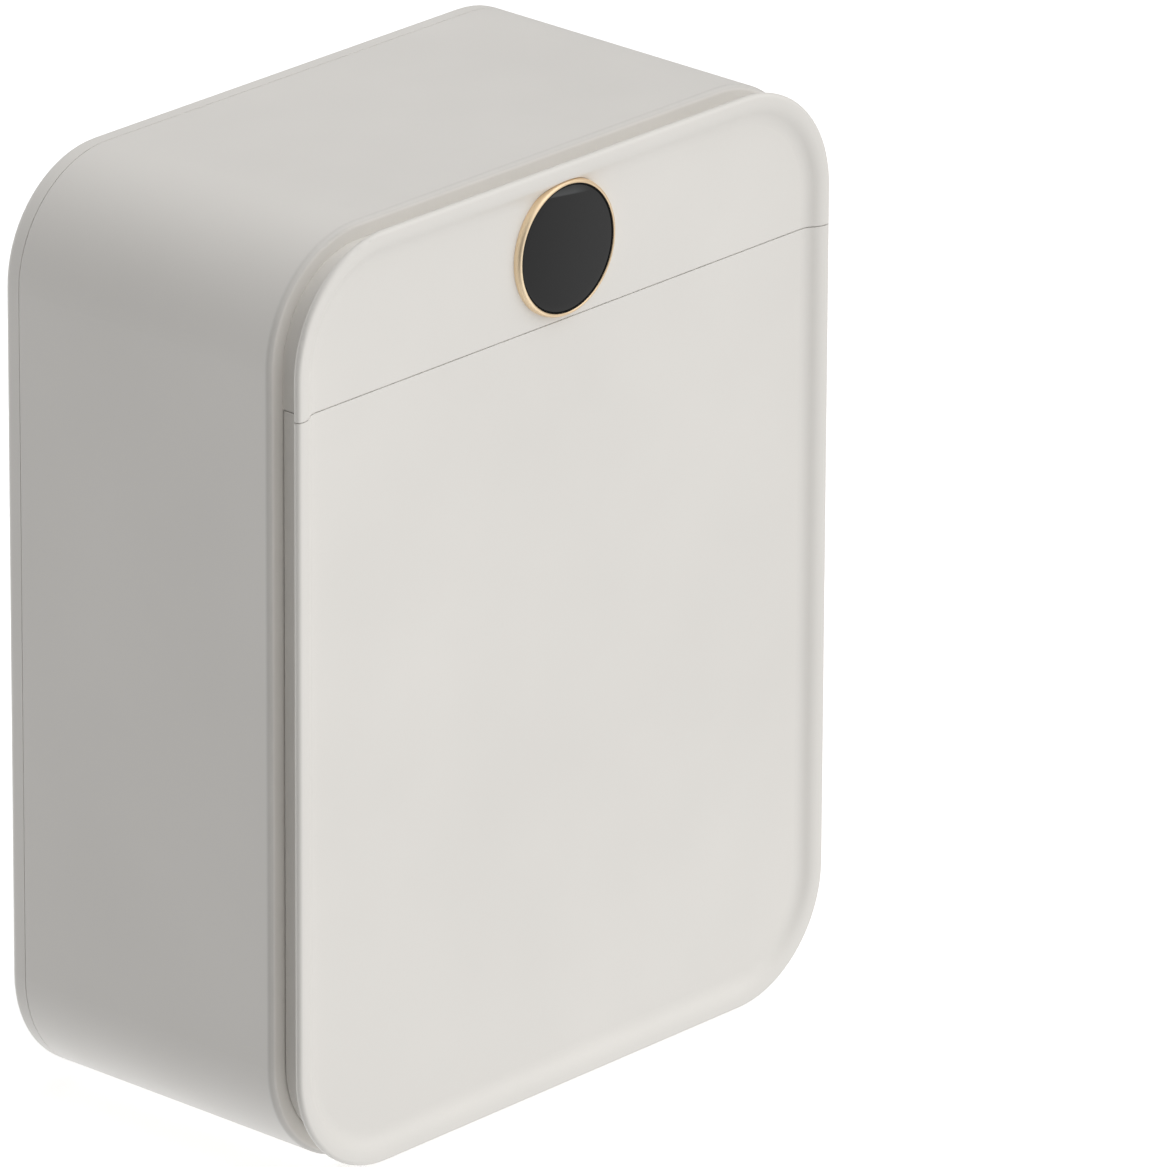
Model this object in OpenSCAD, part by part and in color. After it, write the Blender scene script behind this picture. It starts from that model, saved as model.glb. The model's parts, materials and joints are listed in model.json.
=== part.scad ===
// Portable clothes dryer: an upright cabinet with a door below and a machine bay above.
// X runs to the right, Y to the back and Z up. The front plate faces -Y.
// The origin is on the floor under the middle of the cabinet.

/* [Body] */
// Width of the cabinet
body_w = 316; // [300:1:340]
// Height of the cabinet above its feet
body_h = 400; // [385:1:440]
// Depth of the cabinet from front plate to rear cover
body_d = 162; // [156:1:190]
// Corner radius of the cabinet seen from the front
corner_r = 51; // [44:1:60]
// Wall thickness of the casing mouldings
wall = 2.4; // [2:0.1:3]
// Radius on the front edge of the sleeve
sleeve_edge_r = 2.5; // [1.5:0.1:3.5]

/* [Front plate] */
// Thickness of the lip round the front plate
lip_t = 3.5; // [3:0.1:4.5]
// Radius on the front edge of the lip
lip_front_r = 1.8; // [1:0.1:2.2]
// Radius on the rear edge of the lip
lip_rear_r = 1.5; // [0.5:0.1:1.6]
// Width of the lip's flat face inside its front radius
rim_w = 1; // [0.5:0.1:2]
// Depth of the dished middle below the lip
dish_depth = 4; // [3:0.1:5]
// Width of the curved border between lip and dish
dish_run = 11; // [10:0.1:16]
// Wall thickness of the front mouldings
skin_t = 2.2; // [1.8:0.1:2.6]
// Gap between control panel and door
seam = 0.5; // [0.4:0.1:1]
// Height of the control panel
panel_h = 67.5; // [66:0.5:76]

/* [Finger groove] */
// Width of the groove behind the lip
groove_w = 12.2; // [10.5:0.1:13]
// Depth of the groove
groove_in = 7.4; // [6.8:0.1:8.4]
// Gap between the back of the door and the front frame
door_gap = 0.6; // [0.5:0.1:0.9]

/* [Front frame] */
// Width of the frame round the door opening
frame_in = 22; // [21:0.5:26]
// Height of the frame's crossbar below the seam
bar_low = 14; // [13:0.5:18]
// Height of the frame's crossbar above the seam
bar_up = 9; // [7:0.5:10]
// Radius of the door opening's upper corners
opening_top_r = 8; // [5:0.5:12]
// Width of the window behind the control panel
window_w = 190; // [150:1:220]
// Height of the window behind the control panel
window_h = 38; // [34:1:42]

/* [Display] */
// Diameter of the display lens
lens_d = 54; // [50:0.5:56]
// Thickness of the display lens
lens_t = 1.6; // [1.2:0.1:2]
// Width of the metal ring round the lens
ring_w = 1.9; // [1.5:0.1:2.6]
// How far the ring stands out of the dished face
ring_proud = 3.2; // [2.4:0.1:3.4]
// How far the lens lies below the ring
lens_sink = 0.3; // [0.2:0.1:0.8]
// Height of the display's centre above the seam
display_up = 31; // [30:0.5:33]
// Depth of the cup behind the lens
cup_depth = 9; // [8:0.5:12]

/* [Door] */
// Thickness of the door's inner panel
inner_t = 2.2; // [2.1:0.1:2.6]
// How far the inner panel's pan reaches into the chamber
pan_depth = 5; // [3:0.5:8]
// Width of the door gasket
gasket_w = 4; // [3:0.1:4.2]
// Depth of the gasket's channel
gasket_sink = 1.4; // [1:0.1:1.6]
// Width of the door magnets
magnet_w = 4.4; // [4:0.1:4.6]
// Height of the door magnets
magnet_h = 24; // [16:1:30]
// Height of the lower magnet's centre above the door's lower end
magnet_rise = 107; // [97:1:127]
// Distance of the upper magnet's centre below the seam
magnet_drop = 79; // [64:1:104]

/* [Hinges] */
// Diameter of the hinge knuckles
knuckle_d = 6.4; // [5.6:0.1:6.6]
// Diameter of the hinge pins
pin_d = 3; // [2:0.1:3.4]
// Length of one hinge
hinge_l = 40; // [34:1:50]
// Length of each outer knuckle
knuckle_l = 12; // [8:0.5:13]
// Height of the lower hinge's centre above the door's lower end
hinge_rise = 81; // [77:1:97]
// Distance of the upper hinge's centre below the seam
hinge_drop = 38; // [34:1:64]

/* [Chamber] */
// Space between the drying chamber and the rear cover's plate
rear_space = 20.2; // [17.2:1:33.2]
// Wall thickness of the chamber liner
liner_t = 1.8; // [1.5:0.1:2.2]
// Diameter of the hanging rail
rail_d = 8; // [6:0.5:10]
// Height of the rail below the chamber's ceiling
rail_drop = 20; // [16:1:30]

/* [Hot air unit] */
// Side of the square air duct
duct_w = 78; // [74:1:79]
// Height of the air duct
duct_h = 30; // [28:1:32]
// Height of the heater core
heater_h = 16; // [12:1:18]
// Side of the square fan frame
fan_w = 92; // [91:1:96]
// Height of the fan frame
fan_h = 25; // [24:1:27]
// Diameter of the fan's air passage
fan_bore = 84; // [80:1:88]
// Gap between blade tips and air passage
tip_gap = 1; // [0.8:0.1:1.5]
// Diameter of the fan hub
hub_d = 38; // [36:1:40]
// Number of fan blades
blade_count = 7; // [5:1:9]
// Pitch angle of the fan blades
blade_pitch = 38; // [32:1:42]
// Diameter of the fan shaft
shaft_d = 3; // [2:0.1:3.4]

/* [Rear cover] */
// Depth of the rear cover
cover_d = 8; // [7:0.5:12]
// Radius on the rear edge of the cover
cover_edge_r = 3; // [2:0.1:4]
// Gap between sleeve and rear cover
cover_seam = 0.3; // [0.2:0.1:0.5]
// Width of one grille slot
slot_w = 3; // [2:0.1:3.4]
// Spacing of the grille slots
slot_pitch = 6; // [5.5:0.1:8]
// Number of grille slots across
slot_count = 23; // [15:2:25]
// Length of one grille slot
slot_l = 20; // [14:1:22]
// Spacing of the wall-hanging keyholes
keyhole_gap = 160; // [120:1:200]
// Diameter of a keyhole's entry
keyhole_d = 9; // [8:0.5:11]
// Width of a keyhole's slot
keyhole_slot = 4.5; // [4:0.1:5]

/* [Feet] */
// Height of the rubber feet below the cabinet
foot_h = 3; // [2:0.5:6]
// Diameter of the rubber feet
foot_d = 18; // [14:1:22]
// Spacing of the feet from side to side
foot_gap_x = 184; // [150:1:190]
// Spacing of the feet from front to back
foot_gap_y = 100; // [80:1:104]

/* [Hidden] */
$fn = 96;

// Small amounts for cuts that pass right through and for joins that share material
eps = 0.5;
reach = 60;

// Heights
top_z = foot_h + body_h;
mid_z = foot_h + body_h / 2;
seam_z = top_z - panel_h;
display_z = seam_z + display_up;

// Depths behind the front plane
neck_back = lip_t + groove_w - door_gap;
frame_front = lip_t + groove_w;
frame_back = frame_front + wall;
chamber_back = body_d - wall - rear_space;
sleeve_back = body_d - cover_d - cover_seam;

// The dished border: two equal arcs that meet half way
dish_r = (dish_run * dish_run + dish_depth * dish_depth) / (4 * dish_depth);
dish_start = lip_front_r + rim_w;
dish_mid = dish_start + dish_run / 2;
dish_end = dish_start + dish_run;
section_in = dish_end + eps;

// The door opening and the chamber behind it share one outline
opening_w = body_w - 2 * frame_in;
opening_low = foot_h + frame_in;
opening_high = seam_z - bar_low;
opening_low_r = corner_r - frame_in;
ceiling_z = opening_high + liner_t;

// The window behind the control panel, and the screws that hold the panel beside it
window_z = (seam_z + bar_up + top_z - frame_in) / 2;
panel_places = [
    for (side = [-1, 1], up = [-1, 1])
        [side * (window_w / 2 + 9), window_z + up * 14]
];

// The display's turned pieces, one behind the other
bezel_d = lens_d + 2 * ring_w;
bezel_sleeve_d = bezel_d - 3;
bezel_front = dish_depth - ring_proud;
bezel_back = dish_depth + skin_t + 2;
bezel_edge = 0.7;
bezel_fit = 0.1;
lens_ledge = 1.5;
lens_front = bezel_front + lens_sink;
lens_back = lens_front + lens_t;
lamp_back = lens_back + 3;
display_board_t = 1.6;
cup_d = lens_d - 2;
cup_wall = 1.6;
cup_clear = 0.8;
cup_back = bezel_back + cup_depth;
collar_t = 2;
ear_x = bezel_sleeve_d / 2 + 5.5;
ear_h = 8;

// The door's inner panel sits inside the neck
panel_fit = 0.15;
inner_edge = groove_in + skin_t + panel_fit;
inner_top = seam / 2 + skin_t + panel_fit;
inner_front = neck_back - inner_t;
inner_gap = 0.05;
gasket_fit = 0.1;
gasket_clear = 0.3;
gasket_land = 1.3;
gasket_edge = frame_in - gasket_land - gasket_w;
gasket_top = bar_low - gasket_land - gasket_w;
pan_clear = 1.2;
pan_wall = 2;
pan_edge = frame_in + pan_clear;
pan_top = bar_low + pan_clear;
pan_back = neck_back + pan_depth;
door_head = inner_front + 1.5;
magnet_x = -body_w / 2 + inner_edge + 0.9 + magnet_w / 2;
magnet_heights = [foot_h + magnet_rise, seam_z - magnet_drop];
magnet_skin = 0.3;
magnet_t = inner_t - magnet_skin;
strike_t = 0.8;
switch_w = 6.4;
switch_l = 18;
switch_t = 5;
switch_edge = 0.4;
switch_drop = 30;
door_place_in = pan_edge + pan_wall + 6;
door_places = [
    for (side = [-1, 1], z = [foot_h + corner_r + 4, mid_z - 30, seam_z - 40])
        [side * (body_w / 2 - door_place_in), z]
];

// The hinge axis runs down the middle of the finger groove on the right
hinge_edge = groove_in / 2;
hinge_x = body_w / 2 - hinge_edge;
hinge_depth = lip_t + groove_w / 2;
hinge_web = 2.4;
hinge_fit = 0.1;
pin_fit = 0.05;
knuckle_space = 0.3;
hinge_plate_t = 2;
hinge_plate_w = 9;
hinge_plate_x = body_w / 2 - wall - 0.2 - hinge_plate_w / 2;
hinge_screw_x = hinge_plate_x - 1.3;
hinge_screw_gap = 12;
arm_plate_t = 1.8;
arm_l = hinge_l - 2 * knuckle_l - 2 * knuckle_space;
hinge_heights = [foot_h + hinge_rise, seam_z - hinge_drop];

// What hangs and looks into the chamber
rail_z = opening_high - rail_drop;
rail_share = 0.45;
rail_y = frame_back + (chamber_back - frame_back) * rail_share - body_d / 2;
socket_t = 8;
socket_wall = 2;
rail_seat = 2;
socket_foot_w = 5;
socket_foot_t = 2.4;
sensor_x = opening_w / 2 - 46;
sensor_z = opening_high - 40;
sensor_d = 10;
sensor_rim = 2.5;
sensor_front = 5;
sensor_tail = 3;
liner_places = [
    for (side = [-1, 1], z = [foot_h + corner_r + 10, mid_z - 40, seam_z - 60])
        [side * (opening_w / 2 + 6), z]
];

// The hot air unit stands on the middle of the chamber's ceiling
unit_y = 0;
duct_t = 2;
duct_inner = duct_w - 2 * duct_t;
duct_foot_w = duct_w + 12;
duct_foot_t = 1.6;
duct_flange_t = 2.4;
duct_screw_at = (duct_w + duct_foot_w) / 4;
duct_top = ceiling_z + duct_h;
fan_top = duct_top + fan_h;
fan_hole_gap = fan_w - 9.5;
fan_corner_r = 4;
strut_w = 4;
fan_screw_d = 3.4;
heater_low = ceiling_z + 8;
heater_w = duct_inner - 0.6;
bar_t = 5;
bar_count = 4;
fin_row_w = (heater_w - bar_count * bar_t) / (bar_count + 1);
bar_pitch = fin_row_w + bar_t;
fin_step = 5;
fin_t = 0.6;
tab_w = 4.8;
tab_t = 0.8;
tab_reach = 8;
cutout_z = ceiling_z + duct_h / 2 + 2;
cutout_d = 16;
cutout_t = 6;
cutout_probe_d = 6;
tab_y = bar_pitch * (bar_count - 1) / 2;
hub_floor = 3;
hub_gap = 2.5;
blade_low = duct_top + hub_floor + 1.5;
blade_high = fan_top - 3.5;
tube_d = 10;
bearing_d = 7;
bearing_h = 2.5;
tube_h = 17;
strut_angle = 12;
rotor_wall = 1.6;
rotor_in = hub_d / 2 - rotor_wall;
magnet_wall = 1.6;
stator_gap = 0.7;
stator_r = rotor_in - magnet_wall - stator_gap;
stator_h = 9;
stator_core = 2.5;
pole_count = 8;
pole_w = 2.8;
shoe_t = 1.8;
shoe_gap = 1.2;
rotor_h = 11;
hub_top = fan_top - 3;

// One size of screw, with its pilot hole, its clearance hole and its head
screw_d = 3;
pilot_d = screw_d - 0.4;
pass_d = screw_d + 0.4;
screw_head_d = 5.6;
screw_head_t = 2;
head_pass_d = screw_head_d + 0.4;
post_d = 7;

// Screws that hold the rear cover: place, height and the direction of the wall beside each
boss_edge = 7.2;
boss_d = 9;
boss_rib = 3;
boss_sink = 4;
boss_l = 24;
boss_back = body_d - cover_d - boss_sink;
boss_front = boss_back - boss_l;
case_head = boss_back + 5;
case_screw_in = 12;
screw_places = [
    for (side = [-1, 1], z = [foot_h + corner_r + 40, top_z - corner_r - 90])
        [side * (body_w / 2 - boss_edge), z, side > 0 ? 0 : 180],
    for (side = [-1, 1], up = [-1, 1])
        [side * (body_w / 2 - corner_r - 20), mid_z + up * (body_h / 2 - boss_edge), up * 90]
];

// The power inlet and the control board at the left of the machine bay
inlet_x = -body_w / 2 + 48;
inlet_z = ceiling_z + 28;
inlet_w = 26;
inlet_h = 14;
inlet_depth = 18;
pin_gap = 8.6;
inlet_pin_d = 2.4;
pin_tail = 5;
board_edge = 9;
board_gap = 12;
board_w = opening_w / 2 - board_edge - duct_w / 2 - board_gap;
board_l = 82;
board_t = 1.6;
board_x = -(duct_w / 2 + board_gap + board_w / 2);
board_y = -6;
board_post_h = 7;
board_z = ceiling_z + board_post_h;
board_top = board_z + board_t;
board_holes = [for (sx = [-1, 1], sy = [-1, 1]) [sx * (board_w / 2 - 4), sy * (board_l / 2 - 4)]];

// Connectors on the board: place from its middle, then size
mains_block = [[8 - board_w / 2, board_l / 2 - 11], [22, 8, 9]];
heater_block = [[board_w / 2 - 10, 2], [9, 26, 8]];
fan_socket = [[board_w / 2 - 9, -25], [8, 8, 6]];
lead_d = 2.6;
thin_lead_d = 1.4;
lead_sides = 8;
lead_steps = 12;
ribbon_w = 7;
ribbon_t = 0.8;
ribbon_gap = 1.5;
ribbon_socket = [[board_w / 2 - 20, 6 - board_l / 2], [ribbon_w + 2, 6, 6]];
transformer = [[1, 10], [18, 18, 16]];
relays = [for (y = [-14, 8]) [[10 - board_w / 2, y], [19, 15, 15]]];
chip = [[-2, -31], [10, 10, 2]];
heat_sink = [[-20, -36], [28, 3, 16]];
capacitor_d = 10;
capacitor_h = 18;
capacitors = [for (y = [-18, -6]) [board_w / 2 - 16, y]];

// The filter behind the intake grille
filter_w = slot_count * slot_pitch + 8;
filter_h = 2 * slot_l + 12;
filter_t = 4;
filter_fit = 0.3;
rail_wall = 2;
intake_z = top_z - 8 - filter_h / 2;
exhaust_z = opening_low + 34;
keyhole_z = opening_high - 46;

// A point at a depth behind the front plane, in the front view's own frame
function fwd(depth) = body_d / 2 - depth;
function world_y(depth) = depth - body_d / 2;

// A plate between two depths, drawn as seen from the front
module layer(d1, d2) {
    rotate([90, 0, 0])
        translate([0, 0, fwd(d2)])
            linear_extrude(d2 - d1)
                children();
}

module rounded_rect(w, h, r) {
    square([w, h - 2 * r], center = true);
    square([w - 2 * r, h], center = true);
    for (x = [-1, 1], y = [-1, 1])
        translate([x * (w / 2 - r), y * (h / 2 - r)])
            circle(r);
}

// The cabinet's outline from the front, drawn in by an even amount
module outline(inset) {
    translate([0, mid_z])
        rounded_rect(body_w - 2 * inset, body_h - 2 * inset, corner_r - inset);
}

// A rectangle with one radius below and another above
module tub(w, low, high, r_low, r_high) {
    translate([-w / 2, low + r_low])
        square([w, high - low - r_low - r_high]);
    translate([-w / 2 + r_low, low])
        square([w - 2 * r_low, r_low]);
    translate([-w / 2 + r_high, high - r_high])
        square([w - 2 * r_high, r_high]);
    for (x = [-1, 1]) {
        translate([x * (w / 2 - r_low), low + r_low])
            circle(r_low);
        translate([x * (w / 2 - r_high), high - r_high])
            circle(r_high);
    }
}

// The door's own outline, drawn in from its sides and from the seam above it
module door_outline(inset, top, r_top = 3) {
    tub(body_w - 2 * inset, foot_h + inset, seam_z - top, corner_r - inset, r_top);
}

// Sweeps a section round the cabinet's outline: x is zero there and negative inwards
module casing_sweep() {
    rotate([90, 0, 0])
        translate([0, mid_z, body_d / 2])
            for (i = [0:3])
                rotate([0, 0, 90 * i]) {
                    across = (i % 2 == 0) ? body_w : body_h;
                    along = (i % 2 == 0) ? body_h : body_w;
                    translate([across / 2 - corner_r, along / 2 - corner_r, 0]) {
                        rotate_extrude(angle = 90)
                            translate([corner_r, 0])
                                children();
                        rotate([90, 0, 0])
                            linear_extrude(along - 2 * corner_r)
                                translate([corner_r, 0])
                                    children();
                    }
                }
}

// What a rounded corner takes off a square one whose tip is at the origin
module corner_cut(r) {
    difference() {
        translate([-r, -r])
            square(r + 1);
        translate([-r, -r])
            circle(r);
    }
}

// The space in front of the dished border and the flat middle
module above_dish() {
    difference() {
        translate([-dish_mid, -dish_depth / 2])
            square([dish_run / 2, dish_depth / 2 + 5]);
        translate([-dish_start, -dish_r])
            circle(dish_r);
    }
    intersection() {
        translate([-dish_end, -dish_depth])
            square([dish_run / 2, dish_depth + 5]);
        translate([-dish_end, dish_r - dish_depth])
            circle(dish_r);
    }
    translate([-section_in - 1, -dish_depth])
        square([section_in + 1 - dish_end, dish_depth + 5]);
}

// Section of the front mouldings: lip, dished border and neck
module front_section(back) {
    difference() {
        translate([-section_in, -back])
            square([section_in, back]);
        above_dish();
        corner_cut(lip_front_r);
        translate([0, -lip_t])
            mirror([0, 1])
                corner_cut(lip_rear_r);
        translate([-groove_in, -back - 1])
            square([groove_in + 1, back + 1 - lip_t]);
    }
}

// Section of the space inside the front mouldings
module hollow_section() {
    difference() {
        translate([-section_in, -reach])
            square([section_in - groove_in - skin_t, reach]);
        translate([0, -skin_t])
            above_dish();
    }
}

module front_solid(back) {
    casing_sweep()
        front_section(back);
    layer(dish_depth, back)
        outline(section_in - 1);
}

module front_hollow(back) {
    intersection() {
        union() {
            casing_sweep()
                hollow_section();
            layer(dish_depth + skin_t, reach)
                outline(section_in - 1);
        }
        layer(0, back)
            outline(1);
    }
}

// Everything above or below a height, as a cutter for the two front mouldings
module above(z) {
    translate([-body_w, -body_d, z])
        cube([2 * body_w, 2 * body_d, 2 * body_h]);
}

module below(z) {
    translate([-body_w, -body_d, z - 2 * body_h])
        cube([2 * body_w, 2 * body_d, 2 * body_h]);
}

// A round bar that runs from front to back
module depth_bar(x, z, d1, d2, d) {
    layer(d1, d2)
        translate([x, z])
            circle(d = d);
}

module door_opening() {
    tub(opening_w, opening_low, opening_high, opening_low_r, opening_top_r);
}

// Slots of one grille in two rows, centred on a height
module grille(z) {
    half = (slot_count - 1) / 2;
    for (i = [-half:half], row = [-1, 1])
        translate([i * slot_pitch, z + row * (slot_l / 2 + 2)])
            slot(slot_w, slot_l);
}

module slot(w, l) {
    square([w, l - w], center = true);
    for (y = [-1, 1])
        translate([0, y * (l - w) / 2])
            circle(d = w);
}

// Section of the sleeve: side wall and the start of the front frame
module sleeve_section() {
    lap = 8;
    translate([0, -frame_front])
        difference() {
            union() {
                translate([-wall, frame_front - sleeve_back])
                    square([wall, sleeve_back - frame_front]);
                translate([-lap, -wall])
                    square([lap, wall]);
            }
            corner_cut(sleeve_edge_r);
        }
}

module outer_shell() {
    color("#d6d2cb")
        difference() {
            union() {
                casing_sweep()
                    sleeve_section();
                layer(frame_front, frame_back)
                    difference() {
                        outline(7);
                        door_opening();
                        translate([0, window_z])
                            rounded_rect(window_w, window_h, 4);
                        translate([0, display_z])
                            circle(d = cup_d + 2 * cup_clear);
                    }
                for (p = screw_places)
                    sleeve_boss(p);
            }
            for (p = screw_places)
                depth_bar(p[0], p[1], boss_back - case_screw_in - 2, boss_back + 1, pilot_d);
            for (z = hinge_heights, side = [-1, 1])
                hinge_web_cut(z + side * (hinge_l - knuckle_l) / 2);
            for (z = magnet_heights)
                magnet_shape(z, frame_front - 1, frame_front + strike_t, 0.5);
            for (x = [-1, 1], y = [-1, 1])
                translate([x * foot_gap_x / 2, y * foot_gap_y / 2, foot_h - 1])
                    cylinder(h = wall + 2, d = foot_d / 3);
            for (p = liner_places)
                depth_bar(p[0], p[1], frame_front + 0.8, frame_back + 1, pilot_d);
            for (z = hinge_heights, side = [-1, 1])
                depth_bar(hinge_screw_x, z + side * hinge_screw_gap, frame_front + 0.8,
                    frame_back + 1, pilot_d);
            for (p = panel_places)
                depth_bar(p[0], p[1], frame_front - 1, frame_back + 1, pass_d);
        }
}

// A boss inside the sleeve, joined to the wall beside it by a rib
module sleeve_boss(p) {
    layer(boss_front, boss_back)
        translate([p[0], p[1]]) {
            circle(d = boss_d);
            rotate(p[2])
                translate([0, -boss_rib / 2])
                    square([boss_edge - wall / 2, boss_rib]);
        }
}

module hinge_web_cut(z) {
    layer(frame_front - 1, frame_back + 1)
        translate([hinge_x, z])
            square([hinge_web + 2 * hinge_fit, knuckle_l + 2 * hinge_fit], center = true);
}

// Section of the rear cover: rim, start of the back plate and the locating rib
module cover_section() {
    lap = 8;
    rib_gap = 0.2;
    rib_t = 1.8;
    difference() {
        union() {
            translate([-wall, -body_d])
                square([wall, cover_d]);
            translate([-lap, -body_d])
                square([lap, wall]);
            translate([-wall - rib_gap - rib_t, -body_d])
                square([rib_t, body_d - boss_back - 0.5]);
        }
        translate([0, -body_d])
            mirror([0, 1])
                corner_cut(cover_edge_r);
    }
}

module keyhole() {
    circle(d = keyhole_d);
    translate([0, keyhole_d / 2 + 2])
        slot(keyhole_slot, keyhole_d + 4);
}

module rear_cover() {
    color("#cfcbc4")
        difference() {
            union() {
                casing_sweep()
                    cover_section();
                layer(body_d - wall, body_d)
                    difference() {
                        outline(7);
                        grille(intake_z);
                        grille(exhaust_z);
                        for (x = [-1, 1])
                            translate([x * keyhole_gap / 2, keyhole_z])
                                keyhole();
                        translate([inlet_x, inlet_z])
                            square([inlet_w, inlet_h], center = true);
                    }
                for (p = screw_places)
                    depth_bar(p[0], p[1], boss_back, body_d - wall + eps, boss_d);
                filter_rails();
            }
            for (p = screw_places) {
                depth_bar(p[0], p[1], boss_back - 1, body_d + 1, pass_d);
                depth_bar(p[0], p[1], case_head, body_d + 1, head_pass_d);
            }
        }
}

// Two channels that the filter slides into from the side while the cover is off
module filter_rails() {
    inner = body_d - wall;
    front = inner - filter_t - filter_fit;
    for (side = [-1, 1])
        translate([-filter_w / 2, 0, intake_z + side * (filter_h / 2 + filter_fit)])
            mirror([0, 0, side < 0 ? 1 : 0]) {
                translate([0, world_y(front - rail_wall), 0])
                    cube([filter_w, inner - front + rail_wall + eps, rail_wall]);
                translate([0, world_y(front - rail_wall), -rail_wall])
                    cube([filter_w, rail_wall, rail_wall + eps]);
            }
}

module control_panel() {
    color("#dedad4")
        difference() {
            intersection() {
                front_solid(frame_front);
                above(seam_z + seam / 2);
            }
            difference() {
                intersection() {
                    front_hollow(reach);
                    above(seam_z + seam / 2 + skin_t);
                }
                depth_bar(0, display_z, 0, bezel_back, bezel_d + 2 * collar_t);
                for (side = [-1, 1])
                    depth_bar(side * ear_x, display_z, 0, bezel_back, post_d);
                for (p = panel_places)
                    depth_bar(p[0], p[1], 0, frame_front, post_d);
            }
            depth_bar(0, display_z, -1, dish_depth, bezel_d + 2 * bezel_fit);
            depth_bar(0, display_z, -1, reach, bezel_sleeve_d + 2 * bezel_fit);
            for (side = [-1, 1])
                depth_bar(side * ear_x, display_z, dish_depth + skin_t / 2, reach, pilot_d);
            for (p = panel_places)
                depth_bar(p[0], p[1], dish_depth + skin_t, reach, pilot_d);
        }
}

// A turned piece on the display's axis, from a section of radius against depth
module display_turn() {
    translate([0, -body_d / 2, display_z])
        rotate([-90, 0, 0])
            rotate_extrude()
                children();
}

module display_bezel() {
    color("#dfc08c")
        display_turn()
            difference() {
                union() {
                    translate([0, bezel_front])
                        square([bezel_d / 2, dish_depth - bezel_front]);
                    square([bezel_sleeve_d / 2, bezel_back]);
                }
                translate([0, -1])
                    square([bezel_d, bezel_front + 1]);
                translate([bezel_d / 2, bezel_front])
                    mirror([0, 1])
                        corner_cut(bezel_edge);
                square([lens_d / 2 + bezel_fit, lens_back]);
                square([lens_d / 2 - lens_ledge, bezel_back + 1]);
            }
}

module display_lens() {
    color("#33363a")
        display_turn()
            translate([0, lens_front])
                square([lens_d / 2, lens_t]);
}

// The cup behind the display, with an ear at each side that is screwed to the control panel
module display_cup() {
    color("#2b2b2d")
        difference() {
            union() {
                depth_bar(0, display_z, bezel_back, cup_back, cup_d);
                layer(bezel_back, bezel_back + cup_wall)
                    translate([0, display_z]) {
                        circle(d = bezel_sleeve_d);
                        square([2 * ear_x, ear_h], center = true);
                        for (side = [-1, 1])
                            translate([side * ear_x, 0])
                                circle(d = ear_h);
                    }
            }
            depth_bar(0, display_z, bezel_back - 1, cup_back - cup_wall, cup_d - 2 * cup_wall);
            layer(bezel_back, cup_back + 1)
                translate([0, display_z])
                    square([ribbon_w + 4, 3], center = true);
            for (side = [-1, 1])
                depth_bar(side * ear_x, display_z, bezel_back - 1, cup_back, pass_d);
        }
}

module display_screws() {
    color("#9a9c9e")
        for (side = [-1, 1])
            pan_screw(side * ear_x, display_z, bezel_back + cup_wall, dish_depth + skin_t);
}

module panel_screws() {
    color("#9a9c9e")
        for (p = panel_places)
            pan_screw(p[0], p[1], frame_back, dish_depth + skin_t + 1);
}

// Round board with four lamp digits and three touch pads below them
module display_board() {
    color("#1f5b3a")
        depth_bar(0, display_z, lamp_back, lamp_back + display_board_t, cup_d - 2 * cup_wall - 1);
    color("#e8e8e0")
        layer(lens_back + 0.6, lamp_back)
            for (i = [-1.5:1.5])
                translate([i * 7, display_z + 4])
                    square([6, 11], center = true);
    color("#c9a76a")
        layer(lamp_back - 0.8, lamp_back)
            for (i = [-1:1])
                translate([i * 13, display_z - 12])
                    circle(d = 9);
}

module door_panel() {
    color("#dedad4")
        difference() {
            intersection() {
                front_solid(neck_back);
                below(seam_z - seam / 2);
            }
            difference() {
                intersection() {
                    front_hollow(reach);
                    below(seam_z - seam / 2 - skin_t);
                }
                for (p = door_places)
                    depth_bar(p[0], p[1], 0, inner_front - inner_gap, post_d);
            }
            for (p = door_places)
                depth_bar(p[0], p[1], dish_depth + skin_t, reach, pilot_d);
            for (z = hinge_heights)
                translate([hinge_x - groove_in, world_y(hinge_depth), z])
                    cube([groove_in, hinge_web + 2 * hinge_fit, arm_l + 2 * hinge_fit], center = true);
        }
}

// Inner panel: a flange with the gasket's channel and a pan that fills the opening's mouth
module door_inner_panel() {
    pan_r = opening_top_r - pan_clear;
    color("#e9e7e3")
        difference() {
            union() {
                layer(inner_front, neck_back)
                    door_outline(inner_edge, inner_top);
                layer(inner_front, pan_back)
                    door_outline(pan_edge, pan_top, pan_r);
            }
            layer(inner_front - 1, pan_back - pan_wall)
                difference() {
                    door_outline(pan_edge + pan_wall, pan_top + pan_wall, max(pan_r - pan_wall, 1));
                    for (p = door_places)
                        translate([p[0], p[1]])
                            circle(d = boss_d);
                }
            layer(neck_back - gasket_sink, neck_back + 1)
                gasket_ring(0);
            for (z = magnet_heights)
                magnet_shape(z, inner_front - 1, neck_back - magnet_skin, 0.1);
            for (p = door_places) {
                depth_bar(p[0], p[1], inner_front - 1, pan_back + 1, pass_d);
                depth_bar(p[0], p[1], door_head, pan_back + 1, head_pass_d);
            }
            door_flutes();
        }
}

// Upright flutes pressed into the chamber side of the door
module door_flutes() {
    pitch = 18;
    count = floor((opening_w / 2 - 60) / pitch);
    layer(pan_back - 0.8, pan_back + 1)
        for (i = [-count:count])
            translate([i * pitch, (opening_low + opening_high) / 2])
                slot(8, opening_high - opening_low - 70);
}

module gasket_ring(fit) {
    difference() {
        door_outline(gasket_edge + fit, gasket_top + fit);
        door_outline(gasket_edge + gasket_w - fit, gasket_top + gasket_w - fit);
    }
}

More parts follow.
